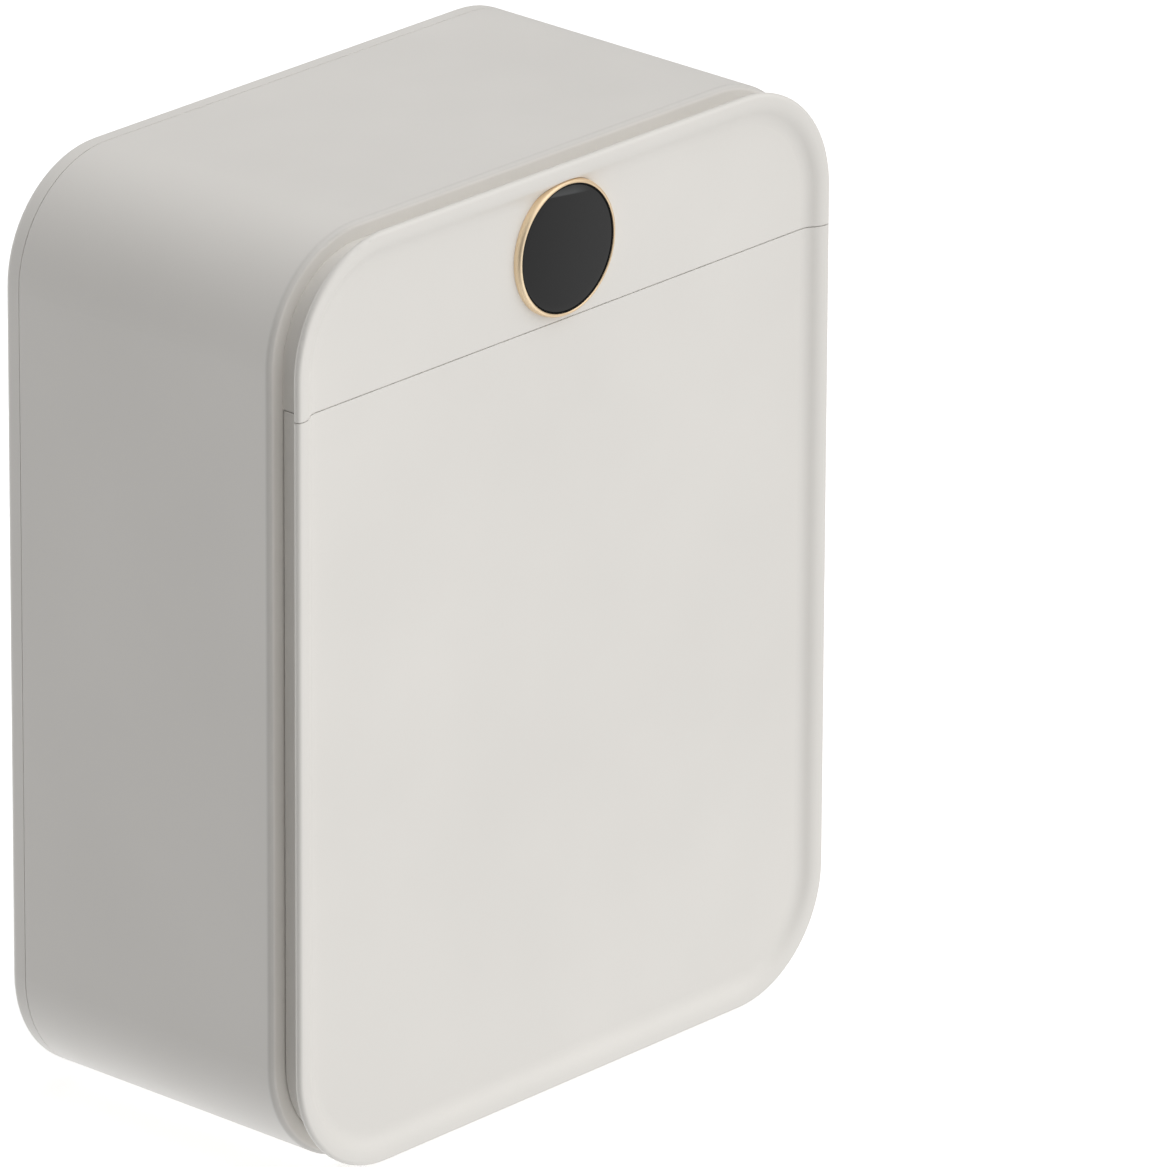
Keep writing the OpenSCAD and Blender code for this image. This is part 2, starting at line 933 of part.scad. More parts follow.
module door_gasket() {
    color("#8f8c88") {
        layer(neck_back - gasket_sink, neck_back)
            gasket_ring(gasket_fit);
        layer(neck_back - eps, frame_front - gasket_clear)
            gasket_ring(gasket_w / 4);
    }
}

module magnet_shape(z, d1, d2, fit) {
    layer(d1, d2)
        translate([magnet_x, z])
            square([magnet_w + 2 * fit, magnet_h + 2 * fit], center = true);
}

module door_magnets() {
    color("#6d6f72")
        for (z = magnet_heights)
            magnet_shape(z, inner_front, inner_front + magnet_t, 0);
}

module strike_plates() {
    color("#b9bbbd")
        for (z = magnet_heights)
            magnet_shape(z, frame_front, frame_front + strike_t, 0.4);
}

// A pan head screw that points to the front: its head starts at one depth, its tip is at another
module pan_screw(x, z, head_front, tip) {
    depth_bar(x, z, head_front, head_front + screw_head_t, screw_head_d);
    depth_bar(x, z, tip, head_front + eps, pilot_d);
}

// The same screw pointing down, with its head on a seat
module upright_screw(x, y, seat, tip) {
    translate([x, y, seat])
        cylinder(h = screw_head_t, d = screw_head_d);
    translate([x, y, tip])
        cylinder(h = seat - tip + eps, d = pilot_d);
}

module door_screws() {
    color("#9a9c9e")
        for (p = door_places)
            pan_screw(p[0], p[1], door_head, dish_depth + skin_t + 0.3);
}

// The fixed half of each hinge: two knuckles whose webs pass through the front frame
module hinge_brackets() {
    color("#c4c6c8")
        for (z = hinge_heights)
            difference() {
                union() {
                    for (side = [-1, 1])
                        translate([hinge_x, world_y(hinge_depth),
                                z + side * (hinge_l - knuckle_l) / 2]) {
                            cylinder(h = knuckle_l, d = knuckle_d, center = true);
                            translate([-hinge_web / 2, 0, -knuckle_l / 2])
                                cube([hinge_web, frame_back - hinge_depth + eps, knuckle_l]);
                        }
                    layer(frame_back, frame_back + hinge_plate_t)
                        translate([hinge_plate_x, z])
                            square([hinge_plate_w, hinge_l], center = true);
                }
                translate([hinge_x, world_y(hinge_depth), z])
                    cylinder(h = hinge_l + 2, d = pin_d, center = true);
                for (side = [-1, 1])
                    depth_bar(hinge_screw_x, z + side * hinge_screw_gap, frame_back - 1,
                        frame_back + hinge_plate_t + 1, pilot_d);
            }
}

// The moving half of each hinge: one knuckle and a foot inside the door's neck
module hinge_arms() {
    foot_x = body_w / 2 - groove_in - skin_t;
    foot_d1 = dish_depth + skin_t + 0.3;
    color("#c4c6c8")
        for (z = hinge_heights)
            difference() {
                translate([0, 0, z - arm_l / 2]) {
                    translate([hinge_x, world_y(hinge_depth), 0])
                        cylinder(h = arm_l, d = knuckle_d);
                    translate([foot_x - arm_plate_t, world_y(hinge_depth) - hinge_web / 2, 0])
                        cube([hinge_x - foot_x + arm_plate_t, hinge_web, arm_l]);
                    translate([foot_x - arm_plate_t, world_y(foot_d1), 0])
                        cube([arm_plate_t, inner_front - 0.2 - foot_d1, arm_l]);
                }
                translate([hinge_x, world_y(hinge_depth), z])
                    cylinder(h = hinge_l, d = pin_d + 2 * pin_fit, center = true);
            }
}

module hinge_pins() {
    color("#a9abad")
        for (z = hinge_heights)
            translate([hinge_x, world_y(hinge_depth), z - hinge_l / 2]) {
                cylinder(h = hinge_l, d = pin_d);
                translate([0, 0, hinge_l])
                    cylinder(h = 1, d = pin_d + 1.6);
            }
}

module hinge_screws() {
    color("#9a9c9e")
        for (z = hinge_heights, side = [-1, 1])
            pan_screw(hinge_screw_x, z + side * hinge_screw_gap, frame_back + hinge_plate_t,
                frame_front + 0.8);
}

// The chamber: a tub whose mouth meets the front frame, with vents above and behind
module chamber_liner() {
    color("#e9e7e3")
        difference() {
            union() {
                layer(frame_back, chamber_back + liner_t)
                    tub(opening_w + 2 * liner_t, opening_low - liner_t, opening_high + liner_t,
                        opening_low_r + liner_t, opening_top_r + liner_t);
                layer(frame_back, frame_back + liner_t)
                    tub(opening_w + 20, opening_low - 8, opening_high + 8,
                        opening_low_r + 8, opening_top_r + 8);
                for (p = board_holes)
                    translate([board_x + p[0], board_y + p[1], ceiling_z - eps])
                        cylinder(h = board_post_h + eps, d = post_d);
            }
            layer(frame_back - 1, chamber_back)
                door_opening();
            ceiling_vents();
            layer(chamber_back - 1, chamber_back + liner_t + 1)
                grille(exhaust_z);
            for (p = liner_places)
                depth_bar(p[0], p[1], frame_back - 1, frame_back + liner_t + 1, pilot_d);
            for (p = board_holes)
                translate([board_x + p[0], board_y + p[1], ceiling_z + 1])
                    cylinder(h = board_post_h, d = pilot_d);
            for (x = [-1, 1], y = [-1, 1])
                translate([x * duct_screw_at, unit_y + y * duct_screw_at, opening_high - 1])
                    cylinder(h = liner_t + 2, d = pilot_d);
            depth_bar(sensor_x, sensor_z, chamber_back - 1, chamber_back + liner_t + 1, sensor_d + 0.2);
        }
}

// Slots that fill a circle in the ceiling, under the heater
module ceiling_vents() {
    vent_r = duct_inner / 2 - 3;
    half = floor(vent_r / slot_pitch) * slot_pitch;
    for (x = [-half:slot_pitch:half]) {
        chord = 2 * sqrt(vent_r * vent_r - x * x);
        translate([x, unit_y, opening_high - 1])
            linear_extrude(liner_t + 2)
                slot(slot_w, max(chord, 2 * slot_w));
    }
}

module liner_screws() {
    color("#9a9c9e")
        for (p = liner_places)
            pan_screw(p[0], p[1], frame_back + liner_t, frame_front + 0.8);
}

module hanging_rail() {
    color("#c9cbcd")
        translate([-opening_w / 2 + rail_seat, rail_y, rail_z])
            rotate([0, 90, 0])
                cylinder(h = opening_w - 2 * rail_seat, d = rail_d);
}

// Round sockets on the side walls, each with a collar and a flared foot
module rail_sockets() {
    color("#d6d2cb")
        for (side = [-1, 1])
            translate([side * opening_w / 2, rail_y, rail_z])
                rotate([0, -90 * side, 0])
                    rotate_extrude()
                        difference() {
                            union() {
                                square([rail_d / 2 + socket_foot_w, socket_foot_t]);
                                square([rail_d / 2 + socket_wall, socket_t]);
                            }
                            translate([0, rail_seat])
                                square([rail_d / 2, socket_t]);
                        }
}

// Square duct between the chamber's ceiling and the fan, with ledges for the heater
module air_duct() {
    color("#5c5f63")
        translate([0, unit_y, ceiling_z])
            difference() {
                union() {
                    linear_extrude(duct_h)
                        square(duct_w, center = true);
                    linear_extrude(duct_foot_t)
                        square(duct_foot_w, center = true);
                    translate([0, 0, duct_h - duct_flange_t])
                        linear_extrude(duct_flange_t)
                            rounded_rect(fan_w, fan_w, fan_corner_r);
                }
                translate([0, 0, -1])
                    linear_extrude(heater_low - ceiling_z + 1)
                        square(duct_inner - 3, center = true);
                translate([0, 0, heater_low - ceiling_z])
                    linear_extrude(duct_h)
                        square(duct_inner, center = true);
                for (x = [-1, 1], y = [-1, 1]) {
                    translate([x * fan_hole_gap / 2, y * fan_hole_gap / 2, duct_h - 4])
                        cylinder(h = 6, d = fan_screw_d);
                    translate([x * duct_screw_at, y * duct_screw_at, -1])
                        cylinder(h = duct_foot_t + 2, d = pass_d);
                }
                translate([-duct_w / 2 - 1, 0, cutout_z - ceiling_z])
                    rotate([0, 90, 0])
                        cylinder(h = duct_t + 2, d = cutout_probe_d + 0.2);
                for (side = [-1, 1])
                    translate([-duct_w / 2, side * tab_y, heater_low + heater_h / 2 - ceiling_z])
                        cube([2 * duct_t + 1, tab_w + 0.6, tab_t + 0.6], center = true);
            }
}

module duct_screws() {
    color("#9a9c9e")
        for (x = [-1, 1], y = [-1, 1])
            upright_screw(x * duct_screw_at, unit_y + y * duct_screw_at, ceiling_z + duct_foot_t,
                ceiling_z - liner_t + 0.4);
}

// One row of zigzag fins: a strip with triangular windows that point up and down in turn
module fin_row() {
    count = floor(heater_w / fin_step);
    low = -fin_row_w / 2 + fin_t;
    high = fin_row_w / 2 - fin_t;
    half = fin_step - fin_t;
    difference() {
        square([heater_w, fin_row_w], center = true);
        for (i = [1:2 * count - 3]) {
            x = (i + 1 - count) * fin_step / 2;
            base = (i % 2 == 0) ? low : high;
            tip = (i % 2 == 0) ? high : low;
            polygon([[x - half / 2, base], [x + half / 2, base], [x, tip]]);
        }
    }
}

module heater_fins() {
    color("#b4b6b8")
        translate([0, unit_y, heater_low + 0.5])
            linear_extrude(heater_h - 1)
                for (row = [0:bar_count])
                    translate([0, -heater_w / 2 + fin_row_w / 2 + row * bar_pitch])
                        fin_row();
}

// Heating bars between the rows of fins, with a spade tab on the first and the last
module heater_bars() {
    color("#e4e0d6")
        translate([0, unit_y, heater_low]) {
            for (bar = [0:bar_count - 1])
                translate([-heater_w / 2, -heater_w / 2 + fin_row_w + bar * bar_pitch, 0])
                    cube([heater_w, bar_t, heater_h]);
            for (side = [-1, 1])
                translate([-duct_w / 2 - tab_reach, side * tab_y - tab_w / 2, (heater_h - tab_t) / 2])
                    cube([tab_reach + duct_w / 2 - heater_w / 2 + 1, tab_w, tab_t]);
        }
}

// Disc thermostat on the duct's left wall, with its probe through the wall
module thermal_cutout() {
    color("#3a3a3c")
        translate([-duct_w / 2, unit_y, cutout_z])
            rotate([0, -90, 0]) {
                cylinder(h = cutout_t, d = cutout_d);
                translate([0, 0, -duct_t])
                    cylinder(h = duct_t + 1, d = cutout_probe_d);
                for (y = [-1, 1])
                    translate([-tab_t / 2, y * cutout_d / 4 - 2, cutout_t - 1])
                        cube([tab_t, 4, tab_reach / 2 + 1]);
            }
}

// The fan's frame: ring, corner lugs, four struts and the tube for the bearings
module fan_frame() {
    color("#333538")
        translate([0, unit_y, duct_top])
            difference() {
                union() {
                    linear_extrude(fan_h)
                        difference() {
                            rounded_rect(fan_w, fan_w, fan_corner_r);
                            circle(d = fan_bore);
                        }
                    cylinder(h = hub_floor, d = hub_d - 2);
                    intersection() {
                        for (a = [0:3])
                            rotate([0, 0, 90 * a + strut_angle])
                                translate([hub_d / 2 - 4, -strut_w / 2, 0])
                                    cube([fan_bore / 2 - hub_d / 2 + 5, strut_w, hub_floor]);
                        cylinder(h = hub_floor, d = fan_bore + 1);
                    }
                    cylinder(h = tube_h, d = tube_d);
                }
                translate([0, 0, hub_floor - 1])
                    cylinder(h = tube_h, d = bearing_d);
                for (x = [-1, 1], y = [-1, 1])
                    translate([x * fan_hole_gap / 2, y * fan_hole_gap / 2, -1])
                        cylinder(h = fan_h + 2, d = fan_screw_d + 0.9);
            }
}

// Stator: a core with eight poles round the bearing tube
module fan_stator() {
    color("#a65f34")
        translate([0, unit_y, duct_top + hub_floor + 2])
            linear_extrude(stator_h)
                difference() {
                    union() {
                        circle(r = tube_d / 2 + stator_core);
                        for (i = [0:pole_count - 1])
                            rotate(360 / pole_count * i)
                                translate([tube_d / 2 + 1, -pole_w / 2])
                                    square([stator_r - tube_d / 2 - 2, pole_w]);
                        difference() {
                            circle(r = stator_r);
                            circle(r = stator_r - shoe_t);
                            for (i = [0:pole_count - 1])
                                rotate(360 / pole_count * (i + 0.5))
                                    translate([0, -shoe_gap / 2])
                                        square([stator_r + 1, shoe_gap]);
                        }
                    }
                    circle(d = tube_d);
                }
}

module fan_bearings() {
    color("#b9a04e")
        for (z = [hub_floor - 1, tube_h - bearing_h])
            translate([0, unit_y, duct_top + z])
                difference() {
                    cylinder(h = bearing_h, d = bearing_d);
                    translate([0, 0, -1])
                        cylinder(h = bearing_h + 2, d = shaft_d + 2 * pin_fit);
                }
}

// A blade is a cambered section that runs out from the hub at a pitch angle
module fan_blade() {
    chord = (blade_high - blade_low) / sin(blade_pitch) - 3;
    camber_r = chord * 1.1;
    thickness = 1.4;
    rise = sqrt(camber_r * camber_r - chord * chord / 4);
    rotate([90 - blade_pitch, 0, 0])
        rotate([90, 0, 90])
            translate([0, 0, hub_d / 2 - 1])
                linear_extrude(fan_bore / 2)
                    intersection() {
                        difference() {
                            translate([-rise, 0])
                                circle(camber_r);
                            translate([-rise - thickness, 0])
                                circle(camber_r);
                        }
                        square([chord, chord], center = true);
                    }
}

module fan_impeller() {
    color("#4a4d50")
        translate([0, unit_y, 0])
            difference() {
                union() {
                    translate([0, 0, duct_top + hub_floor + hub_gap])
                        cylinder(h = hub_top - duct_top - hub_floor - hub_gap, d = hub_d);
                    intersection() {
                        for (i = [0:blade_count - 1])
                            rotate([0, 0, 360 * i / blade_count])
                                translate([0, 0, (blade_low + blade_high) / 2])
                                    fan_blade();
                        translate([0, 0, blade_low])
                            cylinder(h = blade_high - blade_low, d = fan_bore - 2 * tip_gap);
                    }
                }
                translate([0, 0, duct_top])
                    cylinder(h = hub_top - duct_top - 2.5, r = rotor_in);
                translate([0, 0, hub_top - 5])
                    cylinder(h = 6, d = shaft_d);
            }
}

module rotor_magnet() {
    color("#55565a")
        translate([0, unit_y, duct_top + hub_floor + hub_gap + 0.5])
            difference() {
                cylinder(h = rotor_h, r = rotor_in);
                translate([0, 0, -1])
                    cylinder(h = rotor_h + 2, r = rotor_in - magnet_wall);
            }
}

module fan_shaft() {
    color("#c9cbcd")
        translate([0, unit_y, duct_top + hub_floor - 0.5])
            cylinder(h = hub_top - duct_top - hub_floor + 0.5, d = shaft_d);
}

module fan_screws() {
    color("#9a9c9e")
        for (x = [-1, 1], y = [-1, 1])
            translate([x * fan_hole_gap / 2, unit_y + y * fan_hole_gap / 2, 0]) {
                translate([0, 0, duct_top - duct_flange_t - 1])
                    cylinder(h = fan_h + duct_flange_t + 1 + eps, d = fan_screw_d);
                translate([0, 0, fan_top])
                    cylinder(h = 2.4, d = fan_screw_d + 3);
            }
}

// Filter: a frame round a pleated medium
module intake_filter() {
    back = body_d - wall - filter_fit;
    pleat = 5;
    count = floor((filter_w - 10) / pleat);
    color("#7d8084") {
        layer(back - filter_t, back)
            difference() {
                translate([0, intake_z])
                    square([filter_w - 1, filter_h], center = true);
                translate([0, intake_z])
                    square([filter_w - 9, filter_h - 8], center = true);
            }
        translate([-count * pleat / 2, world_y(back - filter_t / 2), intake_z - filter_h / 2 + 3.5])
            linear_extrude(filter_h - 7)
                polygon([
                    for (i = [0:2 * count]) [i * pleat / 2, (i % 2 == 0 ? -1 : 1) - 0.3],
                    for (i = [2 * count:-1:0]) [i * pleat / 2, (i % 2 == 0 ? -1 : 1) + 0.3]
                ]);
    }
}

// Temperature and humidity sensor through the chamber's back wall
module chamber_sensor() {
    color("#f2f2ee") {
        depth_bar(sensor_x, sensor_z, chamber_back - sensor_front, chamber_back + liner_t + sensor_tail,
            sensor_d);
        depth_bar(sensor_x, sensor_z, chamber_back - sensor_rim / 2, chamber_back,
            sensor_d + 2 * sensor_rim);
    }
}

// Reed switch behind the front frame, beside the upper strike plate
module door_switch() {
    color("#2f3236")
        layer(frame_back, frame_back + switch_t)
            translate([-body_w / 2 + wall + switch_edge + switch_w / 2, magnet_heights[1] - switch_drop])
                square([switch_w, switch_l], center = true);
}

// A block that stands on the board, from its place and its size
module board_part(part) {
    translate([part[0][0], part[0][1], board_top])
        cube(part[1]);
}

// Board with a transformer, two relays, a chip, two capacitors, a heat sink and its connectors
module control_board() {
    translate([board_x, board_y, 0]) {
        color("#2d6b45")
            difference() {
                translate([-board_w / 2, -board_l / 2, board_z])
                    cube([board_w, board_l, board_t]);
                for (p = board_holes)
                    translate([p[0], p[1], board_z - 1])
                        cylinder(h = board_t + 2, d = screw_d + 0.2);
            }
        color("#e0b23c")
            board_part(transformer);
        color("#26282b")
            for (part = concat(relays, [chip]))
                board_part(part);
        color("#3c4654")
            for (p = capacitors)
                translate([p[0], p[1], board_top])
                    cylinder(h = capacitor_h, d = capacitor_d);
        color("#b4b6b8")
            board_part(heat_sink);
        color("#f2f2ee")
            for (part = [mains_block, heater_block, fan_socket, ribbon_socket])
                board_part(part);
    }
}

module board_screws() {
    color("#9a9c9e")
        for (p = board_holes)
            upright_screw(board_x + p[0], board_y + p[1], board_top, board_top - 5);
}

// Two-pole appliance inlet, flush with the rear cover
module power_inlet() {
    color("#2b2b2d")
        difference() {
            union() {
                layer(body_d - inlet_depth, body_d)
                    translate([inlet_x, inlet_z])
                        rounded_rect(inlet_w - 0.4, inlet_h - 0.4, 2);
                layer(body_d - wall - 2, body_d - wall)
                    translate([inlet_x, inlet_z])
                        rounded_rect(inlet_w + 6, inlet_h + 6, 3);
            }
            layer(body_d - inlet_depth + 4, body_d + 1)
                translate([inlet_x, inlet_z]) {
                    square([pin_gap, pin_gap], center = true);
                    for (x = [-1, 1])
                        translate([x * pin_gap / 2, 0])
                            circle(d = pin_gap);
                }
            for (x = [-1, 1])
                depth_bar(inlet_x + x * pin_gap / 2, inlet_z, body_d - inlet_depth - 1,
                    body_d - inlet_depth + 5, inlet_pin_d);
        }
}

module inlet_pins() {
    color("#c9cbcd")
        for (x = [-1, 1])
            depth_bar(inlet_x + x * pin_gap / 2, inlet_z, body_d - inlet_depth - pin_tail,
                body_d - pin_tail, inlet_pin_d);
}

// A point on a lead that leaves one end straight and enters the other straight.
// An end is a place and the way out of it.
function lead_point(a, b, t) =
    pow(1 - t, 3) * a[0] + 3 * pow(1 - t, 2) * t * (a[0] + a[1])
    + 3 * (1 - t) * t * t * (b[0] + b[1]) + t * t * t * b[0];

// The direction of the lead at that point
function lead_run(a, b, t) =
    pow(1 - t, 2) * a[1] + 2 * (1 - t) * t * (b[0] + b[1] - a[0] - a[1]) - t * t * b[1];

function unit(v) = v / norm(v);

function lead_ring(a, b, t, d) =
    let (run = unit(lead_run(a, b, t)), side = unit(cross([1, 0, -1], run)), up = cross(run, side))
    [
        for (k = [0:lead_sides - 1])
            let (turn = 360 * k / lead_sides)
            lead_point(a, b, t) + d / 2 * (cos(turn) * side + sin(turn) * up)
    ];

// A round insulated lead between two ends
module lead(a, b, d) {
    n = lead_sides;
    last = lead_steps * n;
    points = [for (i = [0:lead_steps], p = lead_ring(a, b, i / lead_steps, d)) p];
    walls = [
        for (i = [0:n:last - n], k = [0:n - 1])
            let (m = (k + 1) % n)
            each [[i + k, i + n + k, i + n + m], [i + k, i + n + m, i + m]]
    ];
    polyhedron(points, concat([[for (k = [0:n - 1]) k]], walls, [[for (k = [n - 1:-1:0]) last + k]]));
}

// Two leads from the inlet's pins down to the board's mains block
module inlet_leads() {
    start = world_y(body_d - inlet_depth - pin_tail);
    end = board_y + mains_block[0][1] + mains_block[1][1] / 2;
    color("#7c4a2d")
        for (side = [-1, 1]) {
            x = inlet_x + side * pin_gap / 2;
            lead([[x, start, inlet_z], [0, -16, 0]],
                [[x, end, board_top + mains_block[1][2]], [0, 0, 8]], lead_d);
        }
}

// Leads from the heater's tabs and from the cutout over to their block on the board
module heater_leads() {
    block_x = board_x + heater_block[0][0] + heater_block[1][0] / 2;
    block_y = board_y + heater_block[0][1] + heater_block[1][1] / 2;
    block_z = board_top + heater_block[1][2];
    for (side = [-1, 1]) {
        color("#b5482f")
            lead([[-duct_w / 2 - tab_reach, side * tab_y, heater_low + heater_h / 2], [-8, 0, 0]],
                [[block_x, block_y + side * 9.5, block_z], [0, 0, 12]], lead_d);
        color("#e9e7e3")
            lead([[-duct_w / 2 - cutout_t - tab_reach / 2, side * cutout_d / 4, cutout_z], [-6, 0, 0]],
                [[block_x, block_y + side * 2.5, block_z], [0, 0, 9]], thin_lead_d);
    }
}

// Leads from the fan's strut over the edge of its frame and down to the board
module fan_leads() {
    socket_x = board_x + fan_socket[0][0] + fan_socket[1][0] / 2;
    socket_y = board_y + fan_socket[0][1] + fan_socket[1][1] / 2;
    exit_y = unit_y - fan_w / 2 * tan(strut_angle);
    color("#33363a")
        for (side = [-1, 1])
            lead([[-fan_w / 2, exit_y, duct_top + 3 + side], [-6, 0, 0]],
                [[socket_x - 1.5 * side, socket_y, board_top + fan_socket[1][2]], [0, 0, 10]],
                thin_lead_d);
}

// Flat ribbon from the display's board, in front of the fan and down to the control board
module display_ribbon() {
    left = board_x + ribbon_socket[0][0] + (ribbon_socket[1][0] - ribbon_w) / 2;
    end_y = board_y + ribbon_socket[0][1] + ribbon_socket[1][1] / 2;
    start_y = world_y(lamp_back + display_board_t);
    lane_y = unit_y - fan_w / 2 - ribbon_gap - ribbon_w;
    flat_z = display_z - ribbon_t / 2;
    ribbon_low = board_top + ribbon_socket[1][2];
    color("#d8d8d4") {
        translate([-ribbon_w / 2, start_y, flat_z])
            cube([ribbon_w, lane_y + ribbon_w - start_y, ribbon_t]);
        translate([left, lane_y, flat_z])
            cube([ribbon_w / 2 - left, ribbon_w, ribbon_t]);
        translate([left, lane_y, flat_z])
            cube([ribbon_w, end_y + ribbon_t / 2 - lane_y, ribbon_t]);
        translate([left, end_y - ribbon_t / 2, ribbon_low])
            cube([ribbon_w, ribbon_t, flat_z + ribbon_t - ribbon_low]);
    }
}

// Turned feet whose plugs press up into the floor of the sleeve
module rubber_feet() {
    color("#3b3b3b")
        for (x = [-1, 1], y = [-1, 1])
            translate([x * foot_gap_x / 2, y * foot_gap_y / 2, 0])
                rotate_extrude()
                    difference() {
                        union() {
                            square([foot_d / 2, foot_h]);
                            square([foot_d / 6, foot_h + wall + 1]);
                        }
                        translate([foot_d / 2, 0])
                            mirror([0, 1])
                                corner_cut(0.8);
                    }
}

module case_screws() {
    color("#9a9c9e")
        for (p = screw_places)
            pan_screw(p[0], p[1], case_head, boss_back - case_screw_in);
}

outer_shell();
rear_cover();
control_panel();
display_bezel();
display_lens();
display_cup();
display_board();
door_panel();
door_inner_panel();
door_gasket();
door_magnets();
door_screws();
strike_plates();
hinge_brackets();
hinge_arms();
hinge_pins();
hinge_screws();
chamber_liner();
liner_screws();
hanging_rail();
rail_sockets();
air_duct();
heater_fins();
heater_bars();
thermal_cutout();
fan_frame();
fan_stator();
fan_bearings();
fan_impeller();
rotor_magnet();
fan_shaft();
fan_screws();
intake_filter();
chamber_sensor();
door_switch();
control_board();
board_screws();
power_inlet();
inlet_pins();
inlet_leads();
display_ribbon();
rubber_feet();
case_screws();
display_screws();
panel_screws();
duct_screws();
heater_leads();
fan_leads();
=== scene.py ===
"""Dresses the clothes dryer: finishes, turned pieces and fasteners, studio light and camera."""

import json
import math

import bmesh
import bpy
from mathutils import Matrix, Quaternion, Vector


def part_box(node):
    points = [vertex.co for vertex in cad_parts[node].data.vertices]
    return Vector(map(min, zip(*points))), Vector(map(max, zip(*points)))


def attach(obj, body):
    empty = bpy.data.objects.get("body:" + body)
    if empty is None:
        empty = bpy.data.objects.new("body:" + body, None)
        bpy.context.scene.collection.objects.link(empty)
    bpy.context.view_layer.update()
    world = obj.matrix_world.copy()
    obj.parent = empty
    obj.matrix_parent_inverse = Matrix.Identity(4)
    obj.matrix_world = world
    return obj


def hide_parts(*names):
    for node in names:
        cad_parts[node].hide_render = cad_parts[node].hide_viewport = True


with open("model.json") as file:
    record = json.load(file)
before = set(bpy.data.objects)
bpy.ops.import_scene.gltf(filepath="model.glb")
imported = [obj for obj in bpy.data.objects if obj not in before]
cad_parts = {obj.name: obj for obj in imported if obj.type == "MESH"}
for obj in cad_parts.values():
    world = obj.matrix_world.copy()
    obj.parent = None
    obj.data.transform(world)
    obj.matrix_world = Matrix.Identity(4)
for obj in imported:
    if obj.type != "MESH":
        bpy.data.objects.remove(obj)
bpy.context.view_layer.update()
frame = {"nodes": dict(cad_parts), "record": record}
NODES = frame["nodes"]
BODIES = frame["record"]["behaviour"]["bodies"]
BODY_OF = {name: body for body, names in BODIES.items() for name in names}
MM = 0.001

LENS_LOW, LENS_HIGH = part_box("display_lens")
DISPLAY = (LENS_LOW + LENS_HIGH) / 2
LENS_R = (LENS_HIGH.x - LENS_LOW.x) / 2


# Shader building blocks: lengths are in metres, noise scales in waves per metre

WHITE = (1.0, 1.0, 1.0, 1.0)
BEVEL_SAMPLES = 4
OPEN_FACE, SHARP_EDGE = 0.995, 0.86  # cosines between the bevelled and the true normal


def new_material(name):
    """A material with its tree, its shader and its rest coordinates in metres."""
    material = bpy.data.materials.new(name)
    material.use_nodes = True
    tree = material.node_tree
    shader = tree.nodes["Principled BSDF"]
    place = tree.nodes.new("ShaderNodeTexCoord").outputs["Object"]
    return material, tree, shader, place


def node(tree, kind, settings=None, **inputs):
    """Adds a node; settings are its attributes, inputs are values or links by name or _index."""
    made = tree.nodes.new("ShaderNode" + kind)
    for key, value in (settings or {}).items():
        setattr(made, key, value)
    for key, value in inputs.items():
        socket = made.inputs[int(key[1:]) if key[0] == "_" else key.replace("_", " ")]
        if isinstance(value, bpy.types.NodeSocket):
            tree.links.new(value, socket)
        else:
            socket.default_value = value
    return made


def maths(tree, operation, a, b=0.0, clamp=False):
    """One Math node."""
    made = node(tree, "Math", {"operation": operation, "use_clamp": clamp}, _0=a, _1=b)
    return made.outputs[0]


def product(tree, first, *others):
    """Values multiplied together."""
    for other in others:
        first = maths(tree, "MULTIPLY", first, other)
    return first


def vector_maths(tree, operation, a, b=(0.0, 0.0, 0.0), output="Vector"):
    """One Vector Math node."""
    made = node(tree, "VectorMath", {"operation": operation}, _0=a, _1=b)
    return made.outputs[output]


def axes(tree, vector):
    """The x, y and z of a vector."""
    return node(tree, "SeparateXYZ", None, Vector=vector).outputs


def noise(tree, place, scale, detail=2.0, roughness=0.5):
    """A noise value between 0 and 1."""
    made = node(tree, "TexNoise", None, Vector=place, Scale=scale, Detail=detail,
                Roughness=roughness)
    return made.outputs[0]


def remap(tree, value, low, high, to_low=0.0, to_high=1.0):
    """Maps a value from one span to another and clamps it there."""
    made = node(tree, "MapRange", {"clamp": True}, _0=value, _1=low, _2=high, _3=to_low,
                _4=to_high)
    return made.outputs[0]


def varied(tree, place, scale, low=0.0, high=1.0, span=(0.3, 0.7), detail=2.0, roughness=0.5):
    """A noise whose values within span are spread from low to high."""
    return remap(tree, noise(tree, place, scale, detail, roughness), *span, low, high)


def tint(colour, factor):
    """A linear colour scaled by a factor, with its alpha."""
    return tuple(min(1.0, c * factor) for c in colour[:3]) + (1.0,)


def blend(tree, factor, a, b):
    """Mixes two colours, each a value or a link."""
    return node(tree, "Mix", {"data_type": "RGBA"}, _0=factor, _6=a, _7=b).outputs[2]


def rounded_normal(tree, radius):
    """The normal as if every sharp edge had a radius."""
    return node(tree, "Bevel", {"samples": BEVEL_SAMPLES}, Radius=radius).outputs[0]


def edge_mask(tree, radius):
    """One along sharp edges and zero on open faces."""
    flat = node(tree, "NewGeometry").outputs["Normal"]
    bend = vector_maths(tree, "DOT_PRODUCT", rounded_normal(tree, radius), flat, "Value")
    return remap(tree, bend, SHARP_EDGE, OPEN_FACE, 1.0, 0.0)


def finish_surface(tree, shader, base, rough, height, depth, edge_radius):
    """Links colour and roughness, rounds sharp edges in the shading, adds a height as bump."""
    tree.links.new(base, shader.inputs["Base Color"])
    tree.links.new(rough, shader.inputs["Roughness"])
    bump = node(tree, "Bump", None, Strength=1.0, Distance=depth, Height=height,
                Normal=rounded_normal(tree, edge_radius))
    tree.links.new(bump.outputs[0], shader.inputs["Normal"])


# Materials

